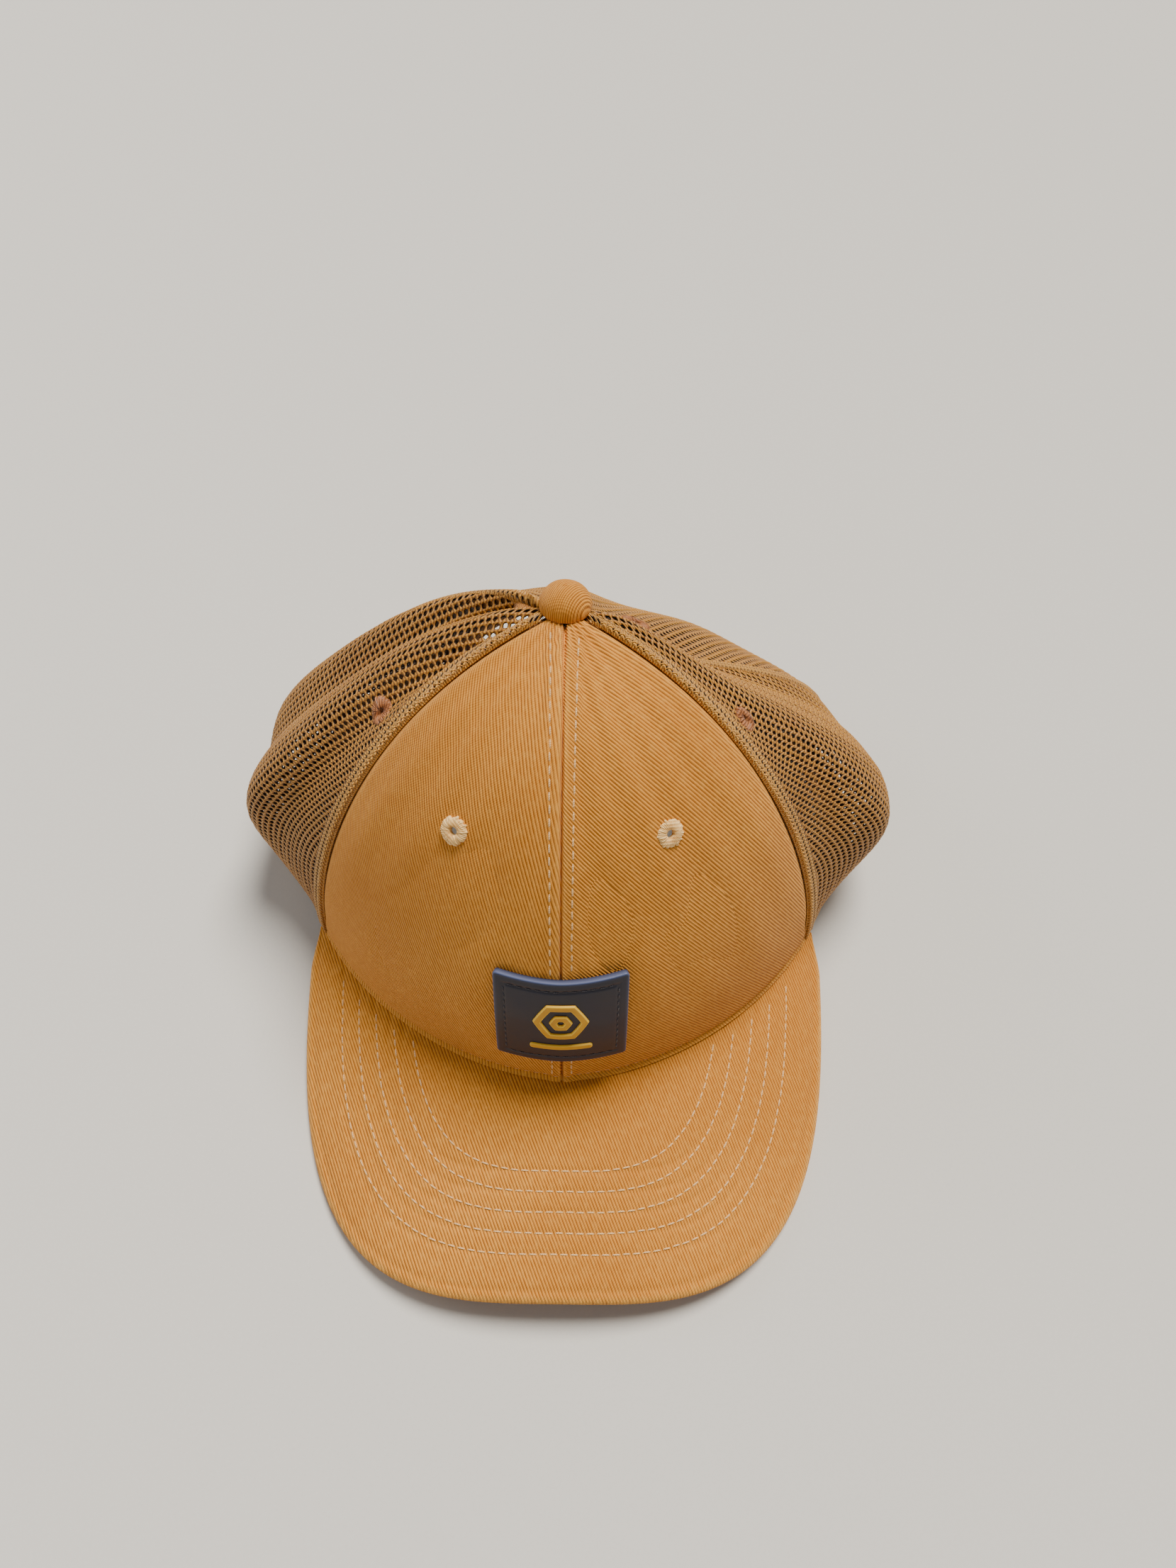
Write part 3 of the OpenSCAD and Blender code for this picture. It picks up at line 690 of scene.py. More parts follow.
# Soft dents in the canvas: angles round and up the crown, depth, half width and half height
DENTS = (
    (-24, 43, 2.2, 9, 9),
    (-38, 28, 1.6, 9, 12),
    (13, 41, 1.8, 7, 9),
    (34, 33, 1.5, 10, 12),
    (-12, 66, -0.8, 9, 12),
    (22, 68, -0.7, 9, 10),
)


def front_relief(p, t, h):
    """How far the canvas stands out at its seams, turned edges and stitch rows."""
    r = ring_radius(p, t) * math.pi / 180
    centre = np.abs(p) * r
    edge = (60 - np.abs(p)) * r
    allowance = 0.55 * (smooth(centre, 0.0, 1.1) - smooth(centre, 5.6, 7.4))
    allowance -= 0.75 * bump(centre, 0, 0.8)
    stitches = 0.25 * bump(centre, 5.0, 0.6)
    side = -0.8 * (1 - smooth(edge, 0.0, 1.6)) + 0.25 * bump(edge, 3.4, 2.2)
    fold = 1.35 * bump(h, 5.7, 1.2) + 0.55 * smooth(h, 7.6, 9.5) * (1 - smooth(h, 10, 20))
    fold = fold - 0.35 * bump(h, 7.7, 0.6)
    quiet = smooth(h, 2, 8)
    dents = 0.0
    for angle, height, depth, wide, tall in DENTS:
        dents = dents + depth * bump(p, angle, wide) * bump(t, height, tall)
    ripple = 0.22 * np.sin(np.abs(p) * 0.55 + t * 0.11) * smooth(h, 20, 40)
    return (allowance - stitches + side) * quiet + fold - dents + ripple


def turned(u, v, angle):
    """Cloth coordinates across and along ribs that lie at an angle to the horizontal."""
    return spun(v, u, angle)


def front_panel(side):
    t_rows, lengths = arc_rows(30 * side, 1.0, float(t_top(30)))
    share = t_rows / t_rows[-1]
    p_cols = np.concatenate([np.linspace(0, 8, 12)[:-1], np.linspace(8, 54, 56)[:-1], np.linspace(54, 60, 9)])
    p_cols = (p_cols if side > 0 else -p_cols[::-1])
    p, s = np.meshgrid(p_cols, share, indexing="ij")
    t = s * t_top(p)
    h = base_surface(p, t)[..., 2] - hem_z(p)
    outer = crown(p, t, -front_relief(p, t, h))
    inner = crown(p, t, CLOTH_T)
    u = np.cumsum(np.linalg.norm(np.diff(outer, axis=0, prepend=outer[:1]), axis=-1), axis=0)
    u -= u[np.abs(p_cols - 30 * side).argmin()]
    across, along = turned(u, lengths, TWILL_ANGLE)
    r = ring_radius(p, t) * math.pi / 180
    wear = 0.55 * bump(np.abs(p) * r, 1.6, 0.9) + 0.4 * bump(h, 6.4, 0.9)
    wear = wear + 0.4 * bump((60 - np.abs(p)) * r, 1.6, 0.9)
    faces = grid_faces(len(p_cols), len(share))
    centres = outer.reshape(-1, 3)[faces].mean(1)
    faces = faces[clear_of_eyelets(centres, mirrored(FRONT_EYELET, side), EYELET_CUT)]
    return shell(outer, inner, faces, np.stack([across, along, wear], -1))


def make_front_panels():
    for side, name in SIDES:
        piece = make(f"canvas_panel_{name}", front_panel(side), canvas, "canvas",
                     replaced=[f"front_panel_{name}"])


# ---- knitted mesh ----
WALE = 2.5
COURSE = 2.35
KNIT_T = 0.75
PANEL_HOLE = 1.3


class Cloth:
    """Maps flat cloth coordinates to a panel: v runs up its centre line and u goes round from it."""

    def __init__(self, p_low, p_high):
        self.low, self.high = p_low, p_high
        middle = (p_low + p_high) / 2
        self.t = np.linspace(0, float(t_top(middle)), 700)
        self.length = arc_lengths(surface(np.full(700, middle), self.t))
        self.v = np.arange(0, self.length[-1] + 1, 1.0)
        self.u = np.arange(-70.0, 70.5, 1.0)
        turn = np.linspace(-50, 50, 401)
        self.table = np.zeros((len(self.v), len(self.u)))
        for k, v in enumerate(self.v):
            s = arc_lengths(surface(middle + turn, np.full(401, np.interp(v, self.length, self.t))))
            self.table[k] = middle + np.interp(self.u, s - s[200], turn)

    def at(self, u, v):
        """Angles round and up the crown, kept on the panel, and how far past its edges the point was."""
        v = np.clip(v, 0, self.length[-1])
        i = np.clip(v.astype(int), 0, len(self.v) - 2)
        fu = np.clip(u - self.u[0], 0, len(self.u) - 1.001)
        j = fu.astype(int)
        a, b = v - i, fu - j
        table = self.table
        p = (1 - a) * ((1 - b) * table[i, j] + b * table[i, j + 1])
        p += a * ((1 - b) * table[i + 1, j] + b * table[i + 1, j + 1])
        kept = np.clip(p, self.low, self.high)
        return kept, np.interp(v, self.length, self.t), p - kept


# The eight corners of a cell and of the hole in it, as steps from its middle
CELL = np.array([(-1, -1), (0, -1), (1, -1), (1, 0), (1, 1), (0, 1), (-1, 1), (-1, 0)])
HOLE_SQUARE = np.array([1.22, 1.0, 1.22, 1.0, 1.22, 1.0, 1.22, 1.0]) * 0.55
HOLE_DIAMOND = np.array([0.86, 1.22, 0.86, 1.1, 0.86, 1.22, 0.86, 1.1]) * 0.55
UNIT = CELL / np.linalg.norm(CELL, axis=1, keepdims=True)


def lattice(columns, rows, hole):
    """A flat knit of cells: points in cells, relief, faces and which cell each face is in.
    Every cell has a hole with a rounded edge, and a filled form for where the cloth ends."""
    half_u, half_v = 2 * columns + 1, 2 * rows + 1
    gu, gv = np.meshgrid(np.arange(half_u) - columns, np.arange(half_v), indexing="ij")
    column = gu - gu.min()
    stagger = 0.25 * np.sin(column * math.pi / 2)
    grid = np.stack([gu / 2, gv / 2 + stagger], -1).reshape(-1, 2)
    corner = (column % 2 == 0) & (gv % 2 == 0)
    side = (column % 2 == 0) & (gv % 2 == 1)
    lift = np.where(corner, 0.28, np.where(side, 0.2, 0.04)).ravel()
    ci, cj = np.meshgrid(np.arange(columns), np.arange(rows), indexing="ij")
    ci, cj = ci.ravel(), cj.ravel()
    middle = (2 * ci + 1) * half_v + 2 * cj + 1
    around = middle[:, None] + (CELL[:, 0] * half_v + CELL[:, 1])[None]
    size = np.where((ci % 2 == 0)[:, None], HOLE_SQUARE, HOLE_DIAMOND) * hole
    size = size * (1 + rng.uniform(-0.09, 0.09, size.shape))
    centre = grid[middle][:, None]
    scale = np.array([1 / WALE, 1 / COURSE])
    shift = rng.uniform(-0.05, 0.05, (len(ci), 1, 2))
    rim = centre + shift + UNIT[None] * size[..., None] * scale
    shoulder = centre + shift * 0.5 + UNIT[None] * (size[..., None] + 0.22) * scale
    n, count = len(grid), len(ci)
    rim_id = n + np.arange(count * 8).reshape(-1, 8)
    shoulder_id = rim_id + count * 8
    points = np.concatenate([grid, rim.reshape(-1, 2), shoulder.reshape(-1, 2)])
    lift = np.concatenate([lift, np.full(count * 8, -0.2), np.zeros(count * 8)])
    # Painted shade for each point: none on the raised corners, a little between them, most at the hole rims
    # and some on their shoulders.
    painted_shade = np.where(corner, 0.0, np.where(side, 0.05, 0.2)).ravel()
    painted_shade = np.concatenate([painted_shade, np.full(count * 8, 1.0), np.full(count * 8, 0.3)])
    nxt = np.roll(np.arange(8), -1)
    outer_ring = np.stack([around, around[:, nxt], shoulder_id[:, nxt], shoulder_id], -1)
    inner_ring = np.stack([shoulder_id, shoulder_id[:, nxt], rim_id[:, nxt], rim_id], -1)
    open_cells = np.concatenate([outer_ring, inner_ring], 1)
    quarters = [np.stack([around[:, (k + i) % 8] for i in range(3)] + [middle], -1) for k in (7, 1, 3, 5)]
    solid = np.stack(quarters, 1)
    return points, lift, painted_shade, open_cells, solid, rim_id, around


def small_faces_out(points, faces):
    """Leaves out faces that clamping has made flat."""
    a, b, c, d = (points[faces[:, k]] for k in range(4))
    area = np.linalg.norm(np.cross(c - a, d - b), axis=1) / 2
    return faces[area > 0.02]


def knit_panel(p_low, p_high, gone, eyelet, columns):
    """A panel of knit with holes. gone(p, h) says where the cloth has been cut away."""
    cloth = Cloth(p_low, p_high)
    rows = int(cloth.length[-1] / COURSE) + 1
    flat, lift, painted_shade, open_cells, solid, rim_id, around = lattice(columns, rows, PANEL_HOLE)
    p, t, past = cloth.at(flat[:, 0] * WALE, flat[:, 1] * COURSE)
    h = surface(p, t)[:, 2] - hem_z(wrap(p))
    wild = np.abs(past) > 0
    lift = np.where(wild, 0, lift)
    outer = crown(p, t, -lift)
    inner = crown(p, t, KNIT_T + lift * 0.5)
    hole_cut = wild[rim_id].any(1)
    kept = ~wild[around].all(1) & clear_of_eyelets(outer[rim_id].mean(1), eyelet, EYELET_CUT)
    kept &= ~gone(p[rim_id].mean(1), h[rim_id].mean(1))
    faces = [open_cells[kept & ~hole_cut].reshape(-1, 4), solid[kept & hole_cut].reshape(-1, 4)]
    faces = small_faces_out(outer, np.concatenate(faces))
    # The knit's inside face gets at least 0.75 of the painted shade.
    return shell(outer, inner, faces, np.stack([flat[:, 0], flat[:, 1], painted_shade], -1), inner_painted_shade=0.75)


def nothing_gone(p, h):
    return np.zeros(len(p), bool)


def arch_gone(p, h):
    """Inside the rear opening, up to the middle of its binding. h is a height above the hem."""
    off = 180 - np.abs(wrap(p))
    return (off / ARCH_HALF_ANGLE) ** 2 + (h / ARCH_H) ** 2 < 1.09 ** 2


# Kind, angles between its seams, what is cut away, eyelet, columns, flat size and cut area in metres
KNIT_PANELS = (
    ("side", 60, 120, nothing_gone, SIDE_EYELET, 60, (0.116, 0.172), 0.0118),
    ("back", 120, 180, arch_gone, BACK_EYELET, 56, (0.092, 0.165), 0.0080),
)


def make_knit_panels():
    for side, name in SIDES:
        for kind, near, far, gone, eyelet, columns, flat, area in KNIT_PANELS:
            low, high = sorted((side * near, side * far))
            panel = knit_panel(low, high, gone, mirrored(eyelet, side), columns)
            piece = make(f"{kind}_knit_{name}", panel, knit, "mesh",
                         replaced=[f"{kind}_panel_{name}"], sharp=80)


# ---- doubled knit: ridges beside the front seams, seams between knit panels, and the hem ----
STRIP_COURSE = 1.75
RIDGE_HALF_W = 2.7
RIDGE_LOW = 4.4
SEAM_HALF_W = 2.6
HEM_MIDDLE = 2.2
HEM_LOW = 0.15


def knit_strip(path, lift, columns, hole):
    """A strip of doubled knit along a path. path(s) gives the angles round and up its middle, and
    the half width as a step round and a step up."""
    s = np.linspace(0, 1, 400)
    p, t = path(s)[:2]
    length = arc_lengths(surface(p, t))
    rows = int(length[-1] / STRIP_COURSE)
    flat, rise, painted_shade, open_cells = lattice(columns, rows, hole)[:4]
    width = flat[:, 0] / (columns / 2)
    s_at = np.interp(flat[:, 1] / rows * length[-1], length, s)
    p, t, dp, dt = path(s_at)
    hump = np.sqrt(np.clip(1 - np.abs(width) ** 3, 0, 1)) * lift
    end = smooth(s_at, 0, 0.015) * (1 - smooth(s_at, 0.985, 1))
    pp, tt = p + width * dp, t + width * dt
    outer = crown(pp, tt, -(hump * end + rise * 0.9 * (np.abs(width) < 0.99)) - 0.1)
    inner = crown(pp, tt, 0.1)
    # Weave Z carries the lattice's painted shade.
    return shell(outer, inner, open_cells.reshape(-1, 4), np.stack([flat[:, 0], flat[:, 1], painted_shade], -1))


def ridge_path(side):
    def path(s):
        t0 = float(t_at(60, RIDGE_LOW))
        t = t0 + (float(t_top(60)) - 1.0 - t0) * s
        width = RIDGE_HALF_W * degrees_per_mm(np.full_like(t, 62), t)
        return side * (60 + width * 0.92), t, width, 0 * t
    return path


def ridge_loops(side):
    """The chain of loops along the ridge's edge beside the canvas."""
    t = np.linspace(float(t_at(60, RIDGE_LOW)), float(t_top(60)) - 3.0, 900)
    shapes = []
    for off, slant, lift in ((0.35, 0.9, 0.55), (0.95, -0.9, 0.75)):
        p = side * (60 + off * degrees_per_mm(np.full_like(t, 60.0), t))
        points, up = crown_row(p, t)
        points = points + lift * up
        shapes.append(stitch_row(points, up, length=1.9, gap=0.15, width=0.42, height=0.4,
                                 slant=slant * side))
    return shapes


def seam_path(angle):
    def path(s):
        t0 = 0.6 if angle != 180 else float(t_at(180, ARCH_H * 1.1))
        t = t0 + (float(t_top(angle)) - 0.3 - t0) * s
        width = SEAM_HALF_W * degrees_per_mm(np.full_like(t, angle), t)
        return np.full_like(t, angle), t, width, 0 * t
    return path


def hem_path(side):
    def path(s):
        end = 180 - ARCH_HALF_ANGLE * 1.06
        a = 61 + (end - 61) * s
        p = a if side > 0 else -(end - (a - 61))
        middle, low = t_at(p, HEM_MIDDLE), t_at(p, HEM_LOW)
        return p, middle, 0 * a, low - middle
    return path


def make_knit_strips():
    def seam(name, path, columns):
        make(name, knit_strip(path, 0.5, columns, 0.7), knit_fold, "mesh", sharp=80)

    for side, name in SIDES:
        ridge = knit_strip(ridge_path(side), 1.2, 3, 1.1)
        make(f"ridge_knit_{name}", [ridge, *ridge_loops(side)], knit_fold, "mesh",
             replaced=[f"seam_ridge_{name}"], sharp=80)
        seam(f"side_back_seam_{name}", seam_path(120 * side), 3)
    for side, name in SIDES:
        seam(f"hem_knit_{name}", hem_path(side), 2)
    seam("centre_back_seam", seam_path(180), 3)


# ---- placing helpers ----
def place_on_crown(p, t):
    """Places local points on the crown's cloth: across, up along it, and outward."""
    p, t = np.array(float(p)), np.array(float(t))
    wide = float(degrees_per_mm(p, t))
    tall = 1 / np.linalg.norm(surface(p, t + 0.5) - surface(p, t - 0.5))
    return lambda q: crown(p + q[..., 0] * wide, t + q[..., 1] * tall, -q[..., 2])


def degrees_per_mm(p, t):
    """How many degrees round the crown one millimetre is."""
    return 180 / (math.pi * np.maximum(ring_radius(p, t), 3))


def crown_row(p, t):
    """Points of the crown and their normals."""
    return surface(p, t), normal(p, t)


# ---- visor ----
def outline(b, inset):
    """Plan outline of the visor, drawn in by inset; b is the angle from straight ahead."""
    w, l = VISOR_HALF_W - inset, VISOR_LEN - inset
    r = ((np.abs(sin(b)) / w) ** VISOR_SQUARE + (cos(b) / l) ** VISOR_SQUARE) ** (-1 / VISOR_SQUARE)
    return r * sin(b), VISOR_Y - r * cos(b)


def visor_inset(x, y):
    """How far a point of the plan lies in from the outline, near enough."""
    b = np.degrees(np.arctan2(x, VISOR_Y - y))
    lx, ly = outline(b, 0)
    nx = np.sign(lx) * (np.abs(lx) / VISOR_HALF_W) ** (VISOR_SQUARE - 1) / VISOR_HALF_W
    ny = -(np.maximum(VISOR_Y - ly, 0) / VISOR_LEN) ** (VISOR_SQUARE - 1) / VISOR_LEN
    scale = np.hypot(nx, ny)
    return ((lx - x) * nx + (ly - y) * ny) / scale


def rim_y_at(x):
    inside = np.clip(np.abs(x) / CROWN_HALF_W, 0, 1) ** (2 / RIM_POWER)
    return CROWN_Y - CROWN_FRONT * np.sqrt(1 - inside)


def visor_z(x, y):
    ease = VISOR_FALL * (1 - VISOR_EASE * (x / VISOR_HALF_W) ** 2)
    return HEM_SIDE_H + VISOR_UP + arch_z(x) - ease * np.maximum(0, rim_y_at(x) - y)


def visor_inner(p):
    gap = 0.2 + 0.1 * np.maximum(0, np.abs(p) - 60)
    q = crown(p, np.zeros_like(p), -gap)
    return q[..., 0], q[..., 1]


STITCH_MARGIN = 13.5
STITCH_PITCH = 6.0
STITCH_ROWS = 5
VISOR_LIP = 2.0
VISOR_ANGLE = 63.0
VISOR_END = 61.8
OUTLINE_ANGLE = 83.2
VISOR_TWILL_ANGLE = -67.0


def visor_relief(x, y):
    """The cover sinks at each row of stitches and swells between the rows."""
    inset = visor_inset(x, y)
    relief = 0.12 * np.sin(x * 0.05) * np.sin(y * 0.07)
    for k in range(STITCH_ROWS):
        relief = relief - 0.32 * bump(inset, STITCH_MARGIN + k * STITCH_PITCH, 0.85)
    relief = relief - 0.25 * bump(inset, 3.2, 0.7)
    return relief + 0.25 * smooth(inset, 3.4, 6.0)


def visor_ends(p):
    """Angles of the outline for angles round the crown, and how far it draws in towards the ends."""
    return p * OUTLINE_ANGLE / VISOR_ANGLE, 2.6 * smooth(np.abs(p), 55, VISOR_ANGLE)


def visor_rows(p):
    """Rows from the outline in to the crown: plan point, depth, how flat the cloth lies, edge seam."""
    lip = np.minimum(VISOR_LIP, 0.3 + 0.3 * (VISOR_ANGLE - np.abs(p)))
    ax, ay = visor_inner(p)
    b, taper = visor_ends(p)
    rows = []
    for a in np.linspace(0, 90, 8):
        x, y = outline(b, taper + lip * (1 - math.cos(math.radians(a))))
        depth = VISOR_LIP * (1 - math.sin(math.radians(a))) - 0.02
        rows.append((x, y, np.full_like(p, depth), a / 90, 0.35 * math.exp(-(a / 12) ** 2)))
    ex, ey = outline(b, taper + lip)
    for f in np.linspace(0, 1, 92)[1:]:
        rows.append((ex + (ax - ex) * f, ey + (ay - ey) * f, np.zeros_like(p), 1.0, 0.0))
    return rows


def visor_cover(side):
    even = np.linspace(-VISOR_ANGLE, VISOR_ANGLE, 250)
    bunched = np.sin(np.linspace(-90, 90, 250) * math.pi / 180 * 0.985) * VISOR_ANGLE
    p = np.clip(0.45 * bunched + 0.55 * even, -VISOR_END, VISOR_END) + np.linspace(-1e-3, 1e-3, 250)
    outer, inner, wear = [], [], []
    for x, y, depth, flat, seam in visor_rows(p):
        face = visor_z(x, y) - (0 if side > 0 else VISOR_T)
        low = depth - (visor_relief(x, y) * flat ** 3 - seam)
        thick = depth + 0.85 * flat + (1 - flat) * 0.05
        outer.append(np.stack([x, y, face - side * low], -1))
        inner.append(np.stack([x, y, face - side * thick], -1))
        wear.append(np.full_like(x, 0.9 * bump(flat, 0.35, 0.4) * (flat < 1)))
    outer, inner = np.stack(outer, 1), np.stack(inner, 1)
    row = np.arange(outer.shape[1])
    shrink = 1 - 0.8 * (row < 7) * (1 - row / 7) / 89
    inner[..., :2] *= shrink[None, :, None]
    across, along = turned(outer[..., 0], outer[..., 1], VISOR_TWILL_ANGLE)
    faces = grid_faces(len(p), len(row))
    return shell(outer, inner, faces, np.stack([across, along, np.stack(wear, 1)], -1))


def visor_board():
    """The stiff board between the covers, 2 mm thick."""
    p = np.linspace(-VISOR_END, VISOR_END, 120)
    b, taper = visor_ends(p)
    ax, ay = visor_inner(p)
    ex, ey = outline(b, taper + np.minimum(1.6, 0.5 + 0.3 * (VISOR_ANGLE - np.abs(p))))
    f = np.linspace(0, 0.985, 24)
    x = ex[:, None] + (ax - ex)[:, None] * f
    y = ey[:, None] + (ay - ey)[:, None] * f
    z = visor_z(x, y)
    top, low = np.stack([x, y, z - 1.05], -1), np.stack([x, y, z - 2.95], -1)
    return shell(top, low, grid_faces(120, 24), np.stack([x, y, 0 * x], -1))


def clear_of_crown(x, y):
    return (np.abs(x) / CROWN_HALF_W) ** (2 / RIM_POWER) + ((y - CROWN_Y) / CROWN_FRONT) ** 2 > 1.07


def visor_stitches(side):
    shapes = []
    for k in range(STITCH_ROWS):
        x, y = outline(np.linspace(-83, 83, 1200), STITCH_MARGIN + k * STITCH_PITCH)
        keep = clear_of_crown(x, y) & (y < CROWN_Y)
        x, y = x[keep], y[keep]
        z = visor_z(x, y) - (0 if side > 0 else VISOR_T) + side * visor_relief(x, y)
        points = np.stack([x, y, z], -1)
        up = np.broadcast_to(np.array([0.0, 0.0, float(side)]), points.shape)
        shapes.append(stitch_row(points, up, length=2.5, gap=0.7, width=0.27, height=0.2))
    return shapes


def make_visor():
    make("visor_stiffener", visor_board(), board_plastic, "board", replaced=["visor_board"])
    for side, name in ((1, "top"), (-1, "under")):
        piece = make(f"visor_cover_{name}", visor_cover(side), canvas, "canvas",
                     replaced=[f"visor_{name}_cover"])
    make("visor_stitches", visor_stitches(1) + visor_stitches(-1), pale_thread, "pale_thread",
         replaced=["visor_stitching"])


# ---- topstitching on the crown ----
PATCH_W = 38.5
PATCH_H = 35.5
PATCH_Z = HEM_FRONT_H + 23
PATCH_MID = PATCH_Z + PATCH_H / 2


def centre_rows():
    """Two rows beside the centre seam, from the button down to the visor, left out under the patch."""
    shapes = []
    for side in (1, -1):
        t = np.linspace(float(t_at(1, 9.2)), float(t_top(1)) - 1.5, 900)
        p = side * 5.0 * degrees_per_mm(np.full_like(t, side * 3.0), t)
        z = surface(p, t)[:, 2]
        h = z - hem_z(p)
        for part in (z < PATCH_Z - 0.6, z > PATCH_Z + PATCH_H + 0.9):
            points, up = crown_row(p[part], t[part])
            points = points + up * front_relief(p[part], t[part], h[part])[:, None]
            shapes.append(stitch_row(points, up, length=2.7, gap=0.9, width=0.27, height=0.2))
    return [s for s in shapes if s is not None]


def hem_row():
    """The row that holds the folded edge of the canvas above the visor."""
    shapes = []
    for low, high in ((-59, -0.8), (0.8, 59)):
        p = np.linspace(low, high, 900)
        h = np.full_like(p, 7.7)
        t = t_at(p, h)
        points, up = crown_row(p, t)
        points = points + up * front_relief(p, t, h)[:, None]
        shapes.append(stitch_row(points, up, length=2.4, gap=0.8, width=0.26, height=0.2))
    return shapes


def make_topstitching():
    make("crown_stitches", centre_rows() + hem_row(), pale_thread, "pale_thread",
         replaced=["crown_topstitching"])


# ---- eyelets ----
EYELET_THREADS = 40


def eyelet(p, t):
    """A ring of embroidery, thread by thread, round an opening."""
    wander = rng.normal(0, 1, EYELET_THREADS)
    size = rng.normal(0, 1, EYELET_THREADS)

    def ripple(a, r, z):
        k = (a / 360 * EYELET_THREADS).astype(int) % EYELET_THREADS
        wave = np.abs(sin(a * EYELET_THREADS / 2))
        out = np.clip((r - EYELET_BORE) / (EYELET_R - EYELET_BORE), 0, 1)
        r = r + out * (0.22 * wander[k] + 0.15) * (z > -1)
        return r, z + 0.3 * wave * (z > -0.2) + 0.07 * size[k] * (z > 0.2)

    profile = [(1.2, -1.3), (1.15, -0.5), (1.2, 0.15), (1.5, 0.5), (2.1, 0.72), (2.8, 0.66), (3.4, 0.45),
               (3.8, 0.12), (3.95, -0.35), (3.7, -0.9), (3.2, -1.5), (2.0, -1.8)]
    return revolved(profile, EYELET_THREADS * 4, place_on_crown(p, t), ripple)


def make_eyelets():
    kinds = (
        ("front", FRONT_EYELET, eyelet_thread, "pale_thread"),
        ("side", SIDE_EYELET, brown_thread, "brown_thread"),
        ("back", BACK_EYELET, brown_thread, "brown_thread"),
    )
    for name, (p, t), material, slot in kinds:
        make(f"{name}_eyelet_threads", [eyelet(p, t), eyelet(-p, t)], material, slot,
             replaced=[f"{name}_eyelets"])


# ---- top button ----
BUTTON_R = 7.8
BUTTON_H = 7.4
BUTTON_TILT = -12.0
BUTTON_BACK = 1.3
BUTTON_Z = CROWN_H - 0.4


def on_top(q):
    y, z = spun(q[..., 1], q[..., 2], BUTTON_TILT)
    return np.stack([q[..., 0], TOP_Y + BUTTON_BACK + y, BUTTON_Z + z], -1)


def button_cover():
    """The cloth over the pressed shell, pleated where it turns under."""
    inner_r, inner_h = BUTTON_R - 0.85, BUTTON_H - 0.85
    dome = [(BUTTON_R * cos(a), BUTTON_H * sin(a)) for a in np.linspace(6, 89.2, 30)]
    skin = [(inner_r * cos(a), inner_h * sin(a)) for a in np.linspace(89, 12, 12)]
    rim = [(BUTTON_R - 0.9, 0.5), (BUTTON_R - 0.95, -0.1), (BUTTON_R - 0.5, -0.5), (BUTTON_R - 0.12, -0.2)]

    def ripple(a, r, z):
        low = 1 - smooth(z, 0.3, 3.8)
        pleat = 0.16 * np.abs(sin(a * 7 + 20 * sin(a * 2))) * low * (r > BUTTON_R - 1.2)
        return r - pleat, z + 0.08 * sin(3 * a + 40) * smooth(z, 2, 6)

    shape = revolved(skin + rim + dome, 160, on_top, ripple, closed=False)
    u, v = turned(shape.weave[:, 0], shape.weave[:, 1], 52)
    wear = 0.3 * (1 - smooth(shape.points[:, 2] - BUTTON_Z, 0, 2.5))
    shape.weave = np.stack([1.5 * u + 0.03 * v * v, v, wear], -1)
    return shape


def make_button():
    make("button_cloth", button_cover(), canvas, "canvas", replaced=["button_cover"], sharp=70)


# ---- rubber patch ----
def front_angle(x, share):
    """The angle round the crown at x, where it is a share of its full width."""
    sine = (np.abs(x) / (CROWN_HALF_W * share)) ** (1 / RIM_POWER)
    return np.sign(x) * np.degrees(np.arcsin(np.clip(sine, 0, 1)))


def patch_pt(x, z, depth):
    """The point of the crown at x and z, depth inward."""
    p0 = front_angle(x, 1.0)
    share = cos(t_at(p0, z - hem_z(p0))) ** exponent(p0, 0)
    p1 = front_angle(x, share)
    return crown(p1, t_at(p1, z - hem_z(p1)), depth)


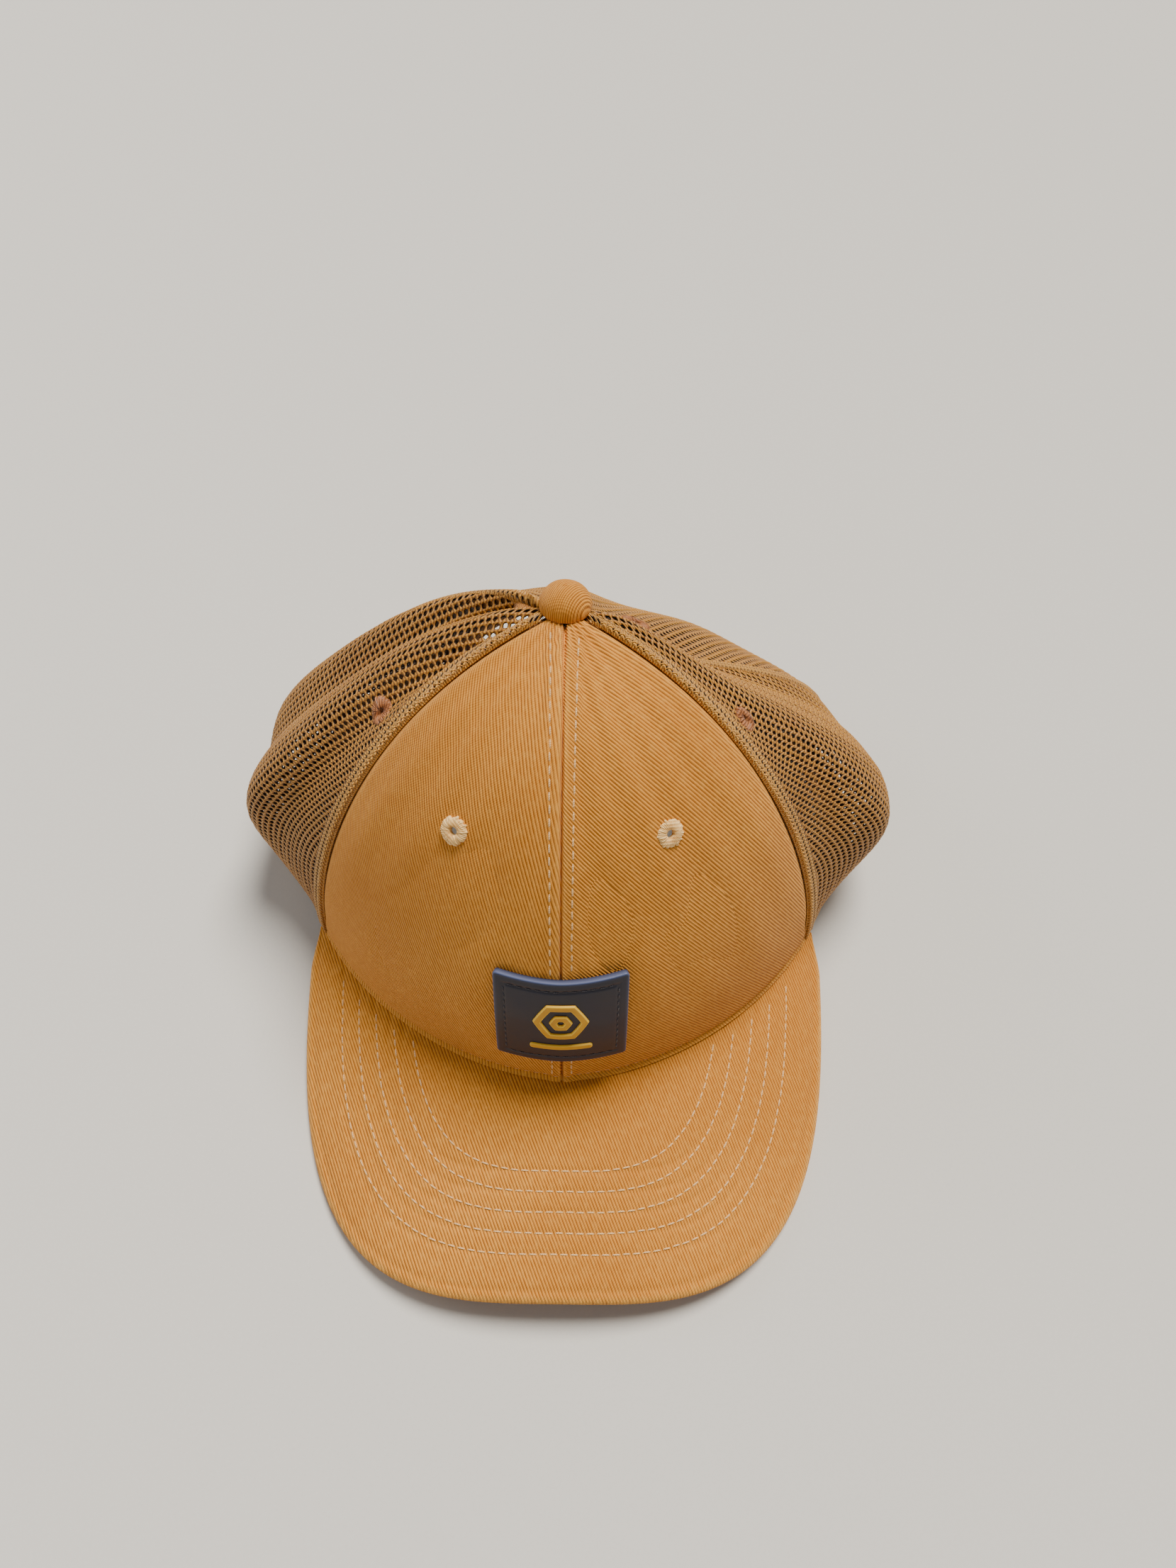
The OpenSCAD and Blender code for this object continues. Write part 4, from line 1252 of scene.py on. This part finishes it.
def plate(w, h, x0, z0, low, high, corner, bevel, columns, rows, relief=None):
    """A rounded, bevelled plate on the front of the crown; low and high are heights above the cloth."""
    X, Z = np.meshgrid(np.linspace(-1, 1, columns), np.linspace(-1, 1, rows), indexing="ij")
    reach = np.maximum(np.abs(X), np.abs(Z))

    def flat(inset):
        a, b = w / 2 + inset, h / 2 + inset
        x, z = X * a, Z * b
        r = max(corner + inset, 0.05)
        dx, dz = np.abs(x) - (a - r), np.abs(z) - (b - r)
        inside = (dx > 0) & (dz > 0)
        long = np.maximum(dx, dz)
        turn = np.where(inside, long / np.maximum(np.hypot(dx, dz), 1e-9), 1.0)
        x = np.where(inside, np.sign(x) * (a - r + dx * turn), x)
        z = np.where(inside, np.sign(z) * (b - r + dz * turn), z)
        return x, z

    x, z = flat(-bevel)
    rise = relief(x, z) if relief is not None else 0.0
    top = patch_pt(x0 + x, z0 + z, -(high + rise))
    base_x, base_z = flat(0.0)
    base = patch_pt(x0 + base_x, z0 + base_z, np.full_like(base_x, -low))
    border = border_loop(columns, rows)
    rings = []
    for inset, level in ((0.0, high - bevel), (-bevel * 0.3, high - bevel * 0.3)):
        rx, rz = flat(inset)
        rings.append(patch_pt(x0 + rx.ravel()[border], z0 + rz.ravel()[border], np.full(len(border), -level)))
    n = columns * rows
    m = len(border)
    points = np.concatenate([top.reshape(-1, 3), base.reshape(-1, 3)] + rings)
    faces = [grid_faces(columns, rows), grid_faces(columns, rows)[:, ::-1] + n]
    loops = [border + n] + [2 * n + k * m + np.arange(m) for k in range(len(rings))] + [border]
    for a, b in zip(loops[:-1], loops[1:]):
        faces.append(np.stack([a, np.roll(a, -1), np.roll(b, -1), b], -1))
    # Weave Z is the painted highlight: a little at the face's border and underside, most on the bevel rings.
    edge = [0.25 * smooth(reach.ravel(), 0.965, 1.0), np.full(n, 0.2), np.full(m, 0.9), np.full(m, 1.0)]
    spread = np.stack([X * w / 2, Z * h / 2], -1).reshape(-1, 2)
    spread = np.concatenate([spread, spread, spread[border], spread[border]])
    return outward(Shape(points, faces, np.column_stack([spread, np.concatenate(edge)])))


def border_loop(columns, rows):
    """The numbers of a grid's border points, in order round it."""
    bottom = np.arange(columns) * rows
    right = (columns - 1) * rows + np.arange(1, rows)
    top = np.arange(columns - 2, -1, -1) * rows + rows - 1
    left = np.arange(rows - 2, 0, -1)
    return np.concatenate([bottom, right, top, left])


PATCH_LOW = 0.3
PATCH_HIGH = 2.3


def patch_relief(x, z):
    """A groove for the stitches, and a face that isn't quite flat."""
    edge = np.minimum(PATCH_W / 2 - np.abs(x), PATCH_H / 2 - np.abs(z))
    return -0.28 * bump(edge, 3.0, 0.45) + 0.06 * np.sin(x * 0.4) * np.sin(z * 0.35)


def hexagon_ring(inner, outer, up):
    """A raised ring with six rounded corners."""
    b = np.arange(0, 360, 2.5)

    def radius(r):
        a = (b + 30) % 60 - 30
        return r * (0.16 + 0.84 * cos(30) / cos(a))

    section = ((0, -0.1), (0.06, 0.45), (0.3, 0.68), (0.5, 0.72))
    loop = [(inner + d, h) for d, h in section] + [(outer - d, h) for d, h in section[::-1]]
    points, weave = [], []
    for r, h in loop:
        s = radius(r)
        x, z = s * sin(b), up + s * cos(b)
        points.append(patch_pt(x, PATCH_MID + z, np.full_like(x, -(PATCH_HIGH + h))))
        # Weave Z is 1 on the ring's raised top, which takes the painted highlight.
        weave.append(np.stack([x, z, np.full_like(x, 1.0 if 0.4 < h < 0.7 else 0.0)], -1))
    return loop_solid(np.stack(points, 1), np.stack(weave, 1), closed=True)


def patch_stitches():
    shapes = []
    a, b = PATCH_W / 2 - 3, PATCH_H / 2 - 3
    corners = [(-a, b), (a, b), (a, -b), (-a, -b)]
    for (x0, z0), (x1, z1) in zip(corners, corners[1:] + corners[:1]):
        f = np.linspace(0.02, 0.98, 200)
        x, z = x0 + (x1 - x0) * f, z0 + (z1 - z0) * f
        high = PATCH_HIGH + patch_relief(x, z)
        points = patch_pt(x, PATCH_MID + z, -high)
        up = points - patch_pt(x, PATCH_MID + z, -high + 1)
        shapes.append(stitch_row(points, up, length=2.1, gap=0.6, width=0.24, height=0.17))
    return shapes


def make_patch():
    base = plate(PATCH_W, PATCH_H, 0, PATCH_MID, PATCH_LOW, PATCH_HIGH, 1.2, 0.45, 97, 89, patch_relief)
    make("rubber_patch", base, navy_rubber, "patch_rubber", replaced=["patch_base"])
    bar = plate(18, 2.0, 0, PATCH_MID - 8.6, PATCH_HIGH - 0.1, PATCH_HIGH + 0.65, 0.9, 0.3, 61, 9)
    make("patch_mark", [hexagon_ring(5.6, 8.0, 3.0), hexagon_ring(1.0, 3.3, 3.0), bar], yellow_rubber,
         "emblem_rubber", replaced=["patch_emblem"])
    make("patch_stitches", patch_stitches(), navy_thread, "patch_rubber", replaced=["patch_stitching"])


# ---- inside: buckram, tapes, hem tape, sweatband and label ----
FIRST_LAYER = 1.05
BUCKRAM_T = 0.8
TAPE_T = 0.6
TAPE_HALF_W = 6
TAPE_LOW = 3.6


def buckram(side):
    """The stiffener behind a front panel, which stops short of the seam tape."""
    p_line = np.linspace(0.05, 55, 60) * side
    p_line = p_line if side > 0 else p_line[::-1]
    p, f = np.meshgrid(p_line, np.linspace(0, 1, 90), indexing="ij")
    low = t_at(p, 4.5)
    t = low + (t_top(p) - 5 - low) * f
    limit = 60 - 6.2 * degrees_per_mm(p, t)
    p = np.sign(p) * np.minimum(np.abs(p), np.maximum(limit, 0.5) * np.abs(p) / 55)
    outer, inner = crown(p, t, FIRST_LAYER), crown(p, t, FIRST_LAYER + BUCKRAM_T)
    u = p * ring_radius(p, t) * math.pi / 180
    faces = grid_faces(*p.shape)
    centres = outer.reshape(-1, 3)[faces].mean(1)
    faces = faces[clear_of_eyelets(centres, mirrored(FRONT_EYELET, side), BUCKRAM_CUT)]
    return shell(outer, inner, faces, np.stack([u, t * 1.9, 0 * u], -1))


def seam_tape(angle, depth, low_h):
    """A tape up the inside of a seam, as wide as the narrowing crown lets it be."""
    def place(t, across, out):
        middle = surface(np.full_like(t, angle), t)
        reach = across * degrees_per_mm(np.full_like(t, angle), t)
        for _ in range(4):
            far = np.linalg.norm(surface(angle + reach, t) - middle, axis=-1)
            reach = np.clip(reach * np.abs(across) / np.maximum(far, 0.01), -24, 24)
        return crown(angle + reach, t, -out)

    steps = np.linspace(float(t_at(angle, low_h)), float(t_top(angle)) - 1.2, 120)
    return swept(place, steps, rounded(-TAPE_HALF_W, TAPE_HALF_W, -depth - TAPE_T, -depth, 0.25))


def tape_stitches(angle, depth, low_h):
    shapes = []
    for across in (-4.4, 4.4):
        t = np.linspace(float(t_at(angle, low_h)) + 1, float(t_top(angle)) - 8, 500)
        p = angle + across * degrees_per_mm(np.full_like(t, angle), t)
        points, up = crown(p, t, depth + TAPE_T), -normal(p, t)
        shapes.append(stitch_row(points, up, length=2.6, gap=0.8, width=0.24, height=0.17))
    return shapes


# Name, angle round the crown, depth, height of the lower end and length, in millimetres but for the angle
TAPES = (
    ("tape_centre_front", 0, 2.0, TAPE_LOW, 157),
    ("tape_front_side_right", 60, FIRST_LAYER, TAPE_LOW, 163),
    ("tape_front_side_left", -60, FIRST_LAYER, TAPE_LOW, 163),
    ("tape_side_back_right", 120, FIRST_LAYER, TAPE_LOW, 166),
    ("tape_side_back_left", -120, FIRST_LAYER, TAPE_LOW, 170),
    ("tape_centre_back", 180, FIRST_LAYER, ARCH_H * 1.2, 89),
)


def make_buckram():
    for side, name in SIDES:
        piece = make(f"buckram_shaded_cloth_{name}", buckram(side), buckram_shaded_cloth, "buckram",
                     replaced=[f"buckram_{name}"])


def make_tapes():
    threads = []
    for name, angle, depth, low_h, length in TAPES:
        piece = make(f"{name}_cloth", seam_tape(angle, depth, low_h), tape_cloth, "tape", replaced=[name])
        threads += tape_stitches(angle, depth, low_h)
    make("tape_stitches", threads, pale_thread, "pale_thread")


def on_mesh(p, height, out):
    """Places points at heights above the hem, out from the slack mesh."""
    return crown(p, t_at(p, height), -out)


def on_band(p, height, out):
    """The same for the sweatband, which stands evenly inside the slack mesh."""
    return crown(p, t_at(p, height), -out, slack=0.0)


# The sweatband's section: height above the hem and how far out
BAND = ((1.0, -3.9), (1.3, -4.35), (2.2, -4.55), (3.6, -4.3), (4.1, -4.15), (4.6, -4.3), (9.0, -4.75),
        (16.0, -4.95), (24.0, -4.75), (29.0, -4.4), (29.6, -4.2), (30.2, -4.35), (31.3, -4.35),
        (32.0, -3.9), (32.1, -3.3), (31.6, -2.95), (24.0, -2.9), (14.0, -2.9), (3.0, -2.9), (1.2, -3.1))
BAND_ROWS = (4.1, 29.6)


def make_bands():
    reach = 180 - ARCH_HALF_ANGLE * 1.1
    tape = swept(on_mesh, np.linspace(-reach, reach, 420), rounded(0.05, 3.5, -2.55, -FIRST_LAYER, 0.5))
    make("hem_tape_cloth", tape, tape_cloth, "tape", replaced=["hem_tape"])
    band = swept(on_band, np.linspace(-141, 141, 420), BAND)
    piece = make("sweatband_cloth", band, band_cloth, "sweatband", replaced=["sweatband"])
    threads = []
    for height in BAND_ROWS:
        p = np.linspace(-140, 140, 1500)
        points, up = on_band(p, height, -4.15), -normal(p, t_at(p, height), 0.0)
        threads.append(stitch_row(points, up, length=2.6, gap=0.8, width=0.24, height=0.17))
    make("sweatband_stitches", threads, pale_thread, "pale_thread")
    label = swept(on_band, np.linspace(113, 131, 40), rounded(11.5, 22, -5.45, -5.0, 0.15))
    piece = make("blank_label", label, label_cloth, "label", replaced=["size_label"])


# ---- binding of the rear opening ----
# The binding's section: how large in parts of the opening, and how far out
BINDING = ((1.0, -0.6), (1.008, -0.05), (1.03, 0.35), (1.07, 0.5), (1.12, 0.5), (1.17, 0.42), (1.195, 0.2),
           (1.2, -0.1), (1.2, -1.0), (1.19, -1.25), (1.12, -1.4), (1.05, -1.35), (1.01, -1.1))
BINDING_ROW = 1.165


def on_arch(turn, size, out):
    """Places points round the opening. turn goes from one end of its arch to the other."""
    p = 180 - ARCH_HALF_ANGLE * size * cos(turn)
    return crown(p, t_at(p, np.maximum(ARCH_H * size * sin(turn), 0.02)), -out)


def make_binding():
    binding = swept(on_arch, np.linspace(0.3, 179.7, 200), BINDING)
    piece = make("arch_binding_cloth", binding, tape_cloth, "tape", replaced=["arch_binding"])
    turn = np.linspace(4, 176, 700)
    points = on_arch(turn, BINDING_ROW, 0.43)
    row = stitch_row(points, points - on_arch(turn, BINDING_ROW, -0.6), length=2.5, gap=0.8, width=0.26,
                     height=0.18)
    make("arch_binding_stitches", row, pale_thread, "pale_thread")


# ---- snap closure: the straps stay as the frame has them, with raised rims and hole collars ----
CLOSURE_TILT = 13.0
CLOSURE_Y = CROWN_Y + 70.1
HINGE_X = 31.5
STRAP_T = 1.4
STRAP_DEPTH = 0.85
STRAP_H = 17.4
STRAP_MID = 3.6 + STRAP_H / 2
STRAP_END = 21.4
SNAP_PITCH = 8.0
SNAP_HOLE_R = 2.5


def closure(x, y, z):
    """Places points given in the tilted plane of the straps."""
    y, z = spun(y, z, CLOSURE_TILT)
    return np.stack([x, CLOSURE_Y + y, z], -1)


def strap_rim(side, level, out):
    """A low raised border along a strap's outline, standing at a depth and pointing out or in."""
    r = STRAP_H / 2 - 0.75
    end = STRAP_END - STRAP_H / 2
    line = np.linspace(-HINGE_X + 2.0, end, 40)
    turn = [(end + r * cos(a), STRAP_MID + r * sin(a)) for a in np.linspace(-87, 87, 40)]
    path = np.array([(x, STRAP_MID - r) for x in line] + turn + [(x, STRAP_MID + r) for x in line[::-1]])
    ahead = unit(np.gradient(path, axis=0))

    def place(s, across, up):
        k = s.astype(int)
        x = path[k, 0] + ahead[k, 1] * across
        z = path[k, 1] - ahead[k, 0] * across
        return closure(-side * x, level + out * up, z)

    half = [(0.5 * cos(a), 0.38 * sin(a)) for a in np.linspace(0, 180, 7)] + [(-0.5, -0.1), (0.5, -0.1)]
    return swept(place, np.arange(len(path)), half)


def ring_on_strap(x, level, out, inner, outer, height):
    profile = [(inner, -0.1), (inner + 0.04, height * 0.7), (inner + 0.22, height), (outer - 0.22, height),
               (outer - 0.04, height * 0.7), (outer, -0.1)]

    def place(q):
        return closure(x + q[..., 0], level + out * q[..., 2], STRAP_MID + q[..., 1])

    return revolved(profile, 48, place)


def make_closure():
    outside = (STRAP_DEPTH + STRAP_T / 2, 1.0)
    collar = (SNAP_HOLE_R + 0.02, SNAP_HOLE_R + 0.85, 0.4)
    rings = [ring_on_strap(k * SNAP_PITCH, *outside, *collar) for k in range(-2, 4)]
    make("strap_relief_holes", [strap_rim(1, *outside), *rings], brown_plastic, "strap_plastic",
         body="strap_outer")
    inside = (-STRAP_DEPTH - STRAP_T / 2, -1.0)
    dimples = [ring_on_strap(k * SNAP_PITCH, *inside, 0.9, 1.9, 0.3) for k in range(-3, 3)]
    make("strap_relief_pegs", [strap_rim(-1, *inside), *dimples], brown_plastic, "strap_plastic",
         body="strap_inner")


def finish_cad_parts():
    """Materials for the CAD parts that stay."""
    finishes = {"button_shell": button_metal, "button_washer": button_metal,
                "strap_with_holes": brown_plastic, "strap_with_pegs": brown_plastic,
                "strap_root_right": brown_plastic, "strap_root_left": brown_plastic}
    for name, material in finishes.items():
        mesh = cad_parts[name].data
        mesh.materials.clear()
        mesh.materials.append(material)


make_front_panels()
make_knit_panels()
make_knit_strips()
make_visor()
make_topstitching()
make_eyelets()
make_button()
make_patch()
make_buckram()
make_tapes()
make_bands()
make_binding()
make_closure()
finish_cad_parts()


# ---- stage, light and camera ----
CAMERA_AT = (7.08, -160.3, 402.2)
CAMERA_PITCH = 60.74
CAMERA_ROLL = 0.013
CAMERA_LENS = 27.05
LIGHT_AIM = Vector((0, 0, 0.05))
FLOOR_HALF = 40.0
FLOOR_DROP = 0.0002


def make_camera():
    data = bpy.data.cameras.new("camera")
    data.sensor_width = 36
    data.lens = CAMERA_LENS
    camera = bpy.data.objects.new("camera", data)
    tilt = Matrix.Rotation(math.radians(90 - CAMERA_PITCH), 4, "X")
    roll = Matrix.Rotation(CAMERA_ROLL, 4, "Z")
    camera.matrix_world = Matrix.Translation(Vector(CAMERA_AT) * MM) @ tilt @ roll
    bpy.context.scene.collection.objects.link(camera)
    bpy.context.scene.camera = camera


def make_light(name, place, size, power, colour=(1, 1, 1)):
    """A round soft light, in metres, that points at the cap."""
    data = bpy.data.lights.new(name, "AREA")
    data.shape = "DISK"
    data.size = size
    data.energy = power
    data.color = colour
    light = bpy.data.objects.new(name, data)
    turn = (LIGHT_AIM - Vector(place)).to_track_quat("-Z", "Y").to_matrix().to_4x4()
    light.matrix_world = Matrix.Translation(Vector(place)) @ turn
    bpy.context.scene.collection.objects.link(light)


def make_sun(direction, power, spread, colour):
    """An overhead light like a large ceiling panel, even over the whole floor."""
    data = bpy.data.lights.new("overhead", "SUN")
    data.energy = power
    data.angle = math.radians(spread)
    data.color = colour
    light = bpy.data.objects.new("overhead", data)
    light.matrix_world = (-Vector(direction)).to_track_quat("-Z", "Y").to_matrix().to_4x4()
    bpy.context.scene.collection.objects.link(light)


def make_stage():
    """A pale floor under the cap, a weak even background and the lights."""
    mesh = bpy.data.meshes.new("floor")
    corners = ((-1, -1), (1, -1), (1, 1), (-1, 1))
    low = cad_low.z - FLOOR_DROP
    mesh.from_pydata([(x * FLOOR_HALF, y * FLOOR_HALF, low) for x, y in corners], [], [(0, 1, 2, 3)])
    floor = bpy.data.objects.new("floor", mesh)
    bpy.context.scene.collection.objects.link(floor)
    n = Nodes("floor_paper", 0.9, specular=0.2)
    cloud = n.noise(n.place(), 900.0, 2.0)
    n.colour(n.mix(cloud, srgb(214, 212, 208), srgb(220, 218, 214)))
    mesh.materials.append(n.material)
    world = bpy.data.worlds.new("studio")
    world.use_nodes = True
    background = world.node_tree.nodes["Background"]
    background.inputs["Color"].default_value = (1.0, 0.98, 0.95, 1)
    background.inputs["Strength"].default_value = 0.2
    bpy.context.scene.world = world
    make_sun((0.35, 0.6, 1.4), 5.0, 26, (1.0, 0.94, 0.84))
    make_light("fill_front", (-0.6, -1.0, 0.8), 0.9, 1.2, (1.0, 0.97, 0.93))
    make_light("fill_side", (-1.1, 0.4, 0.8), 0.8, 3)


make_stage()
make_camera()
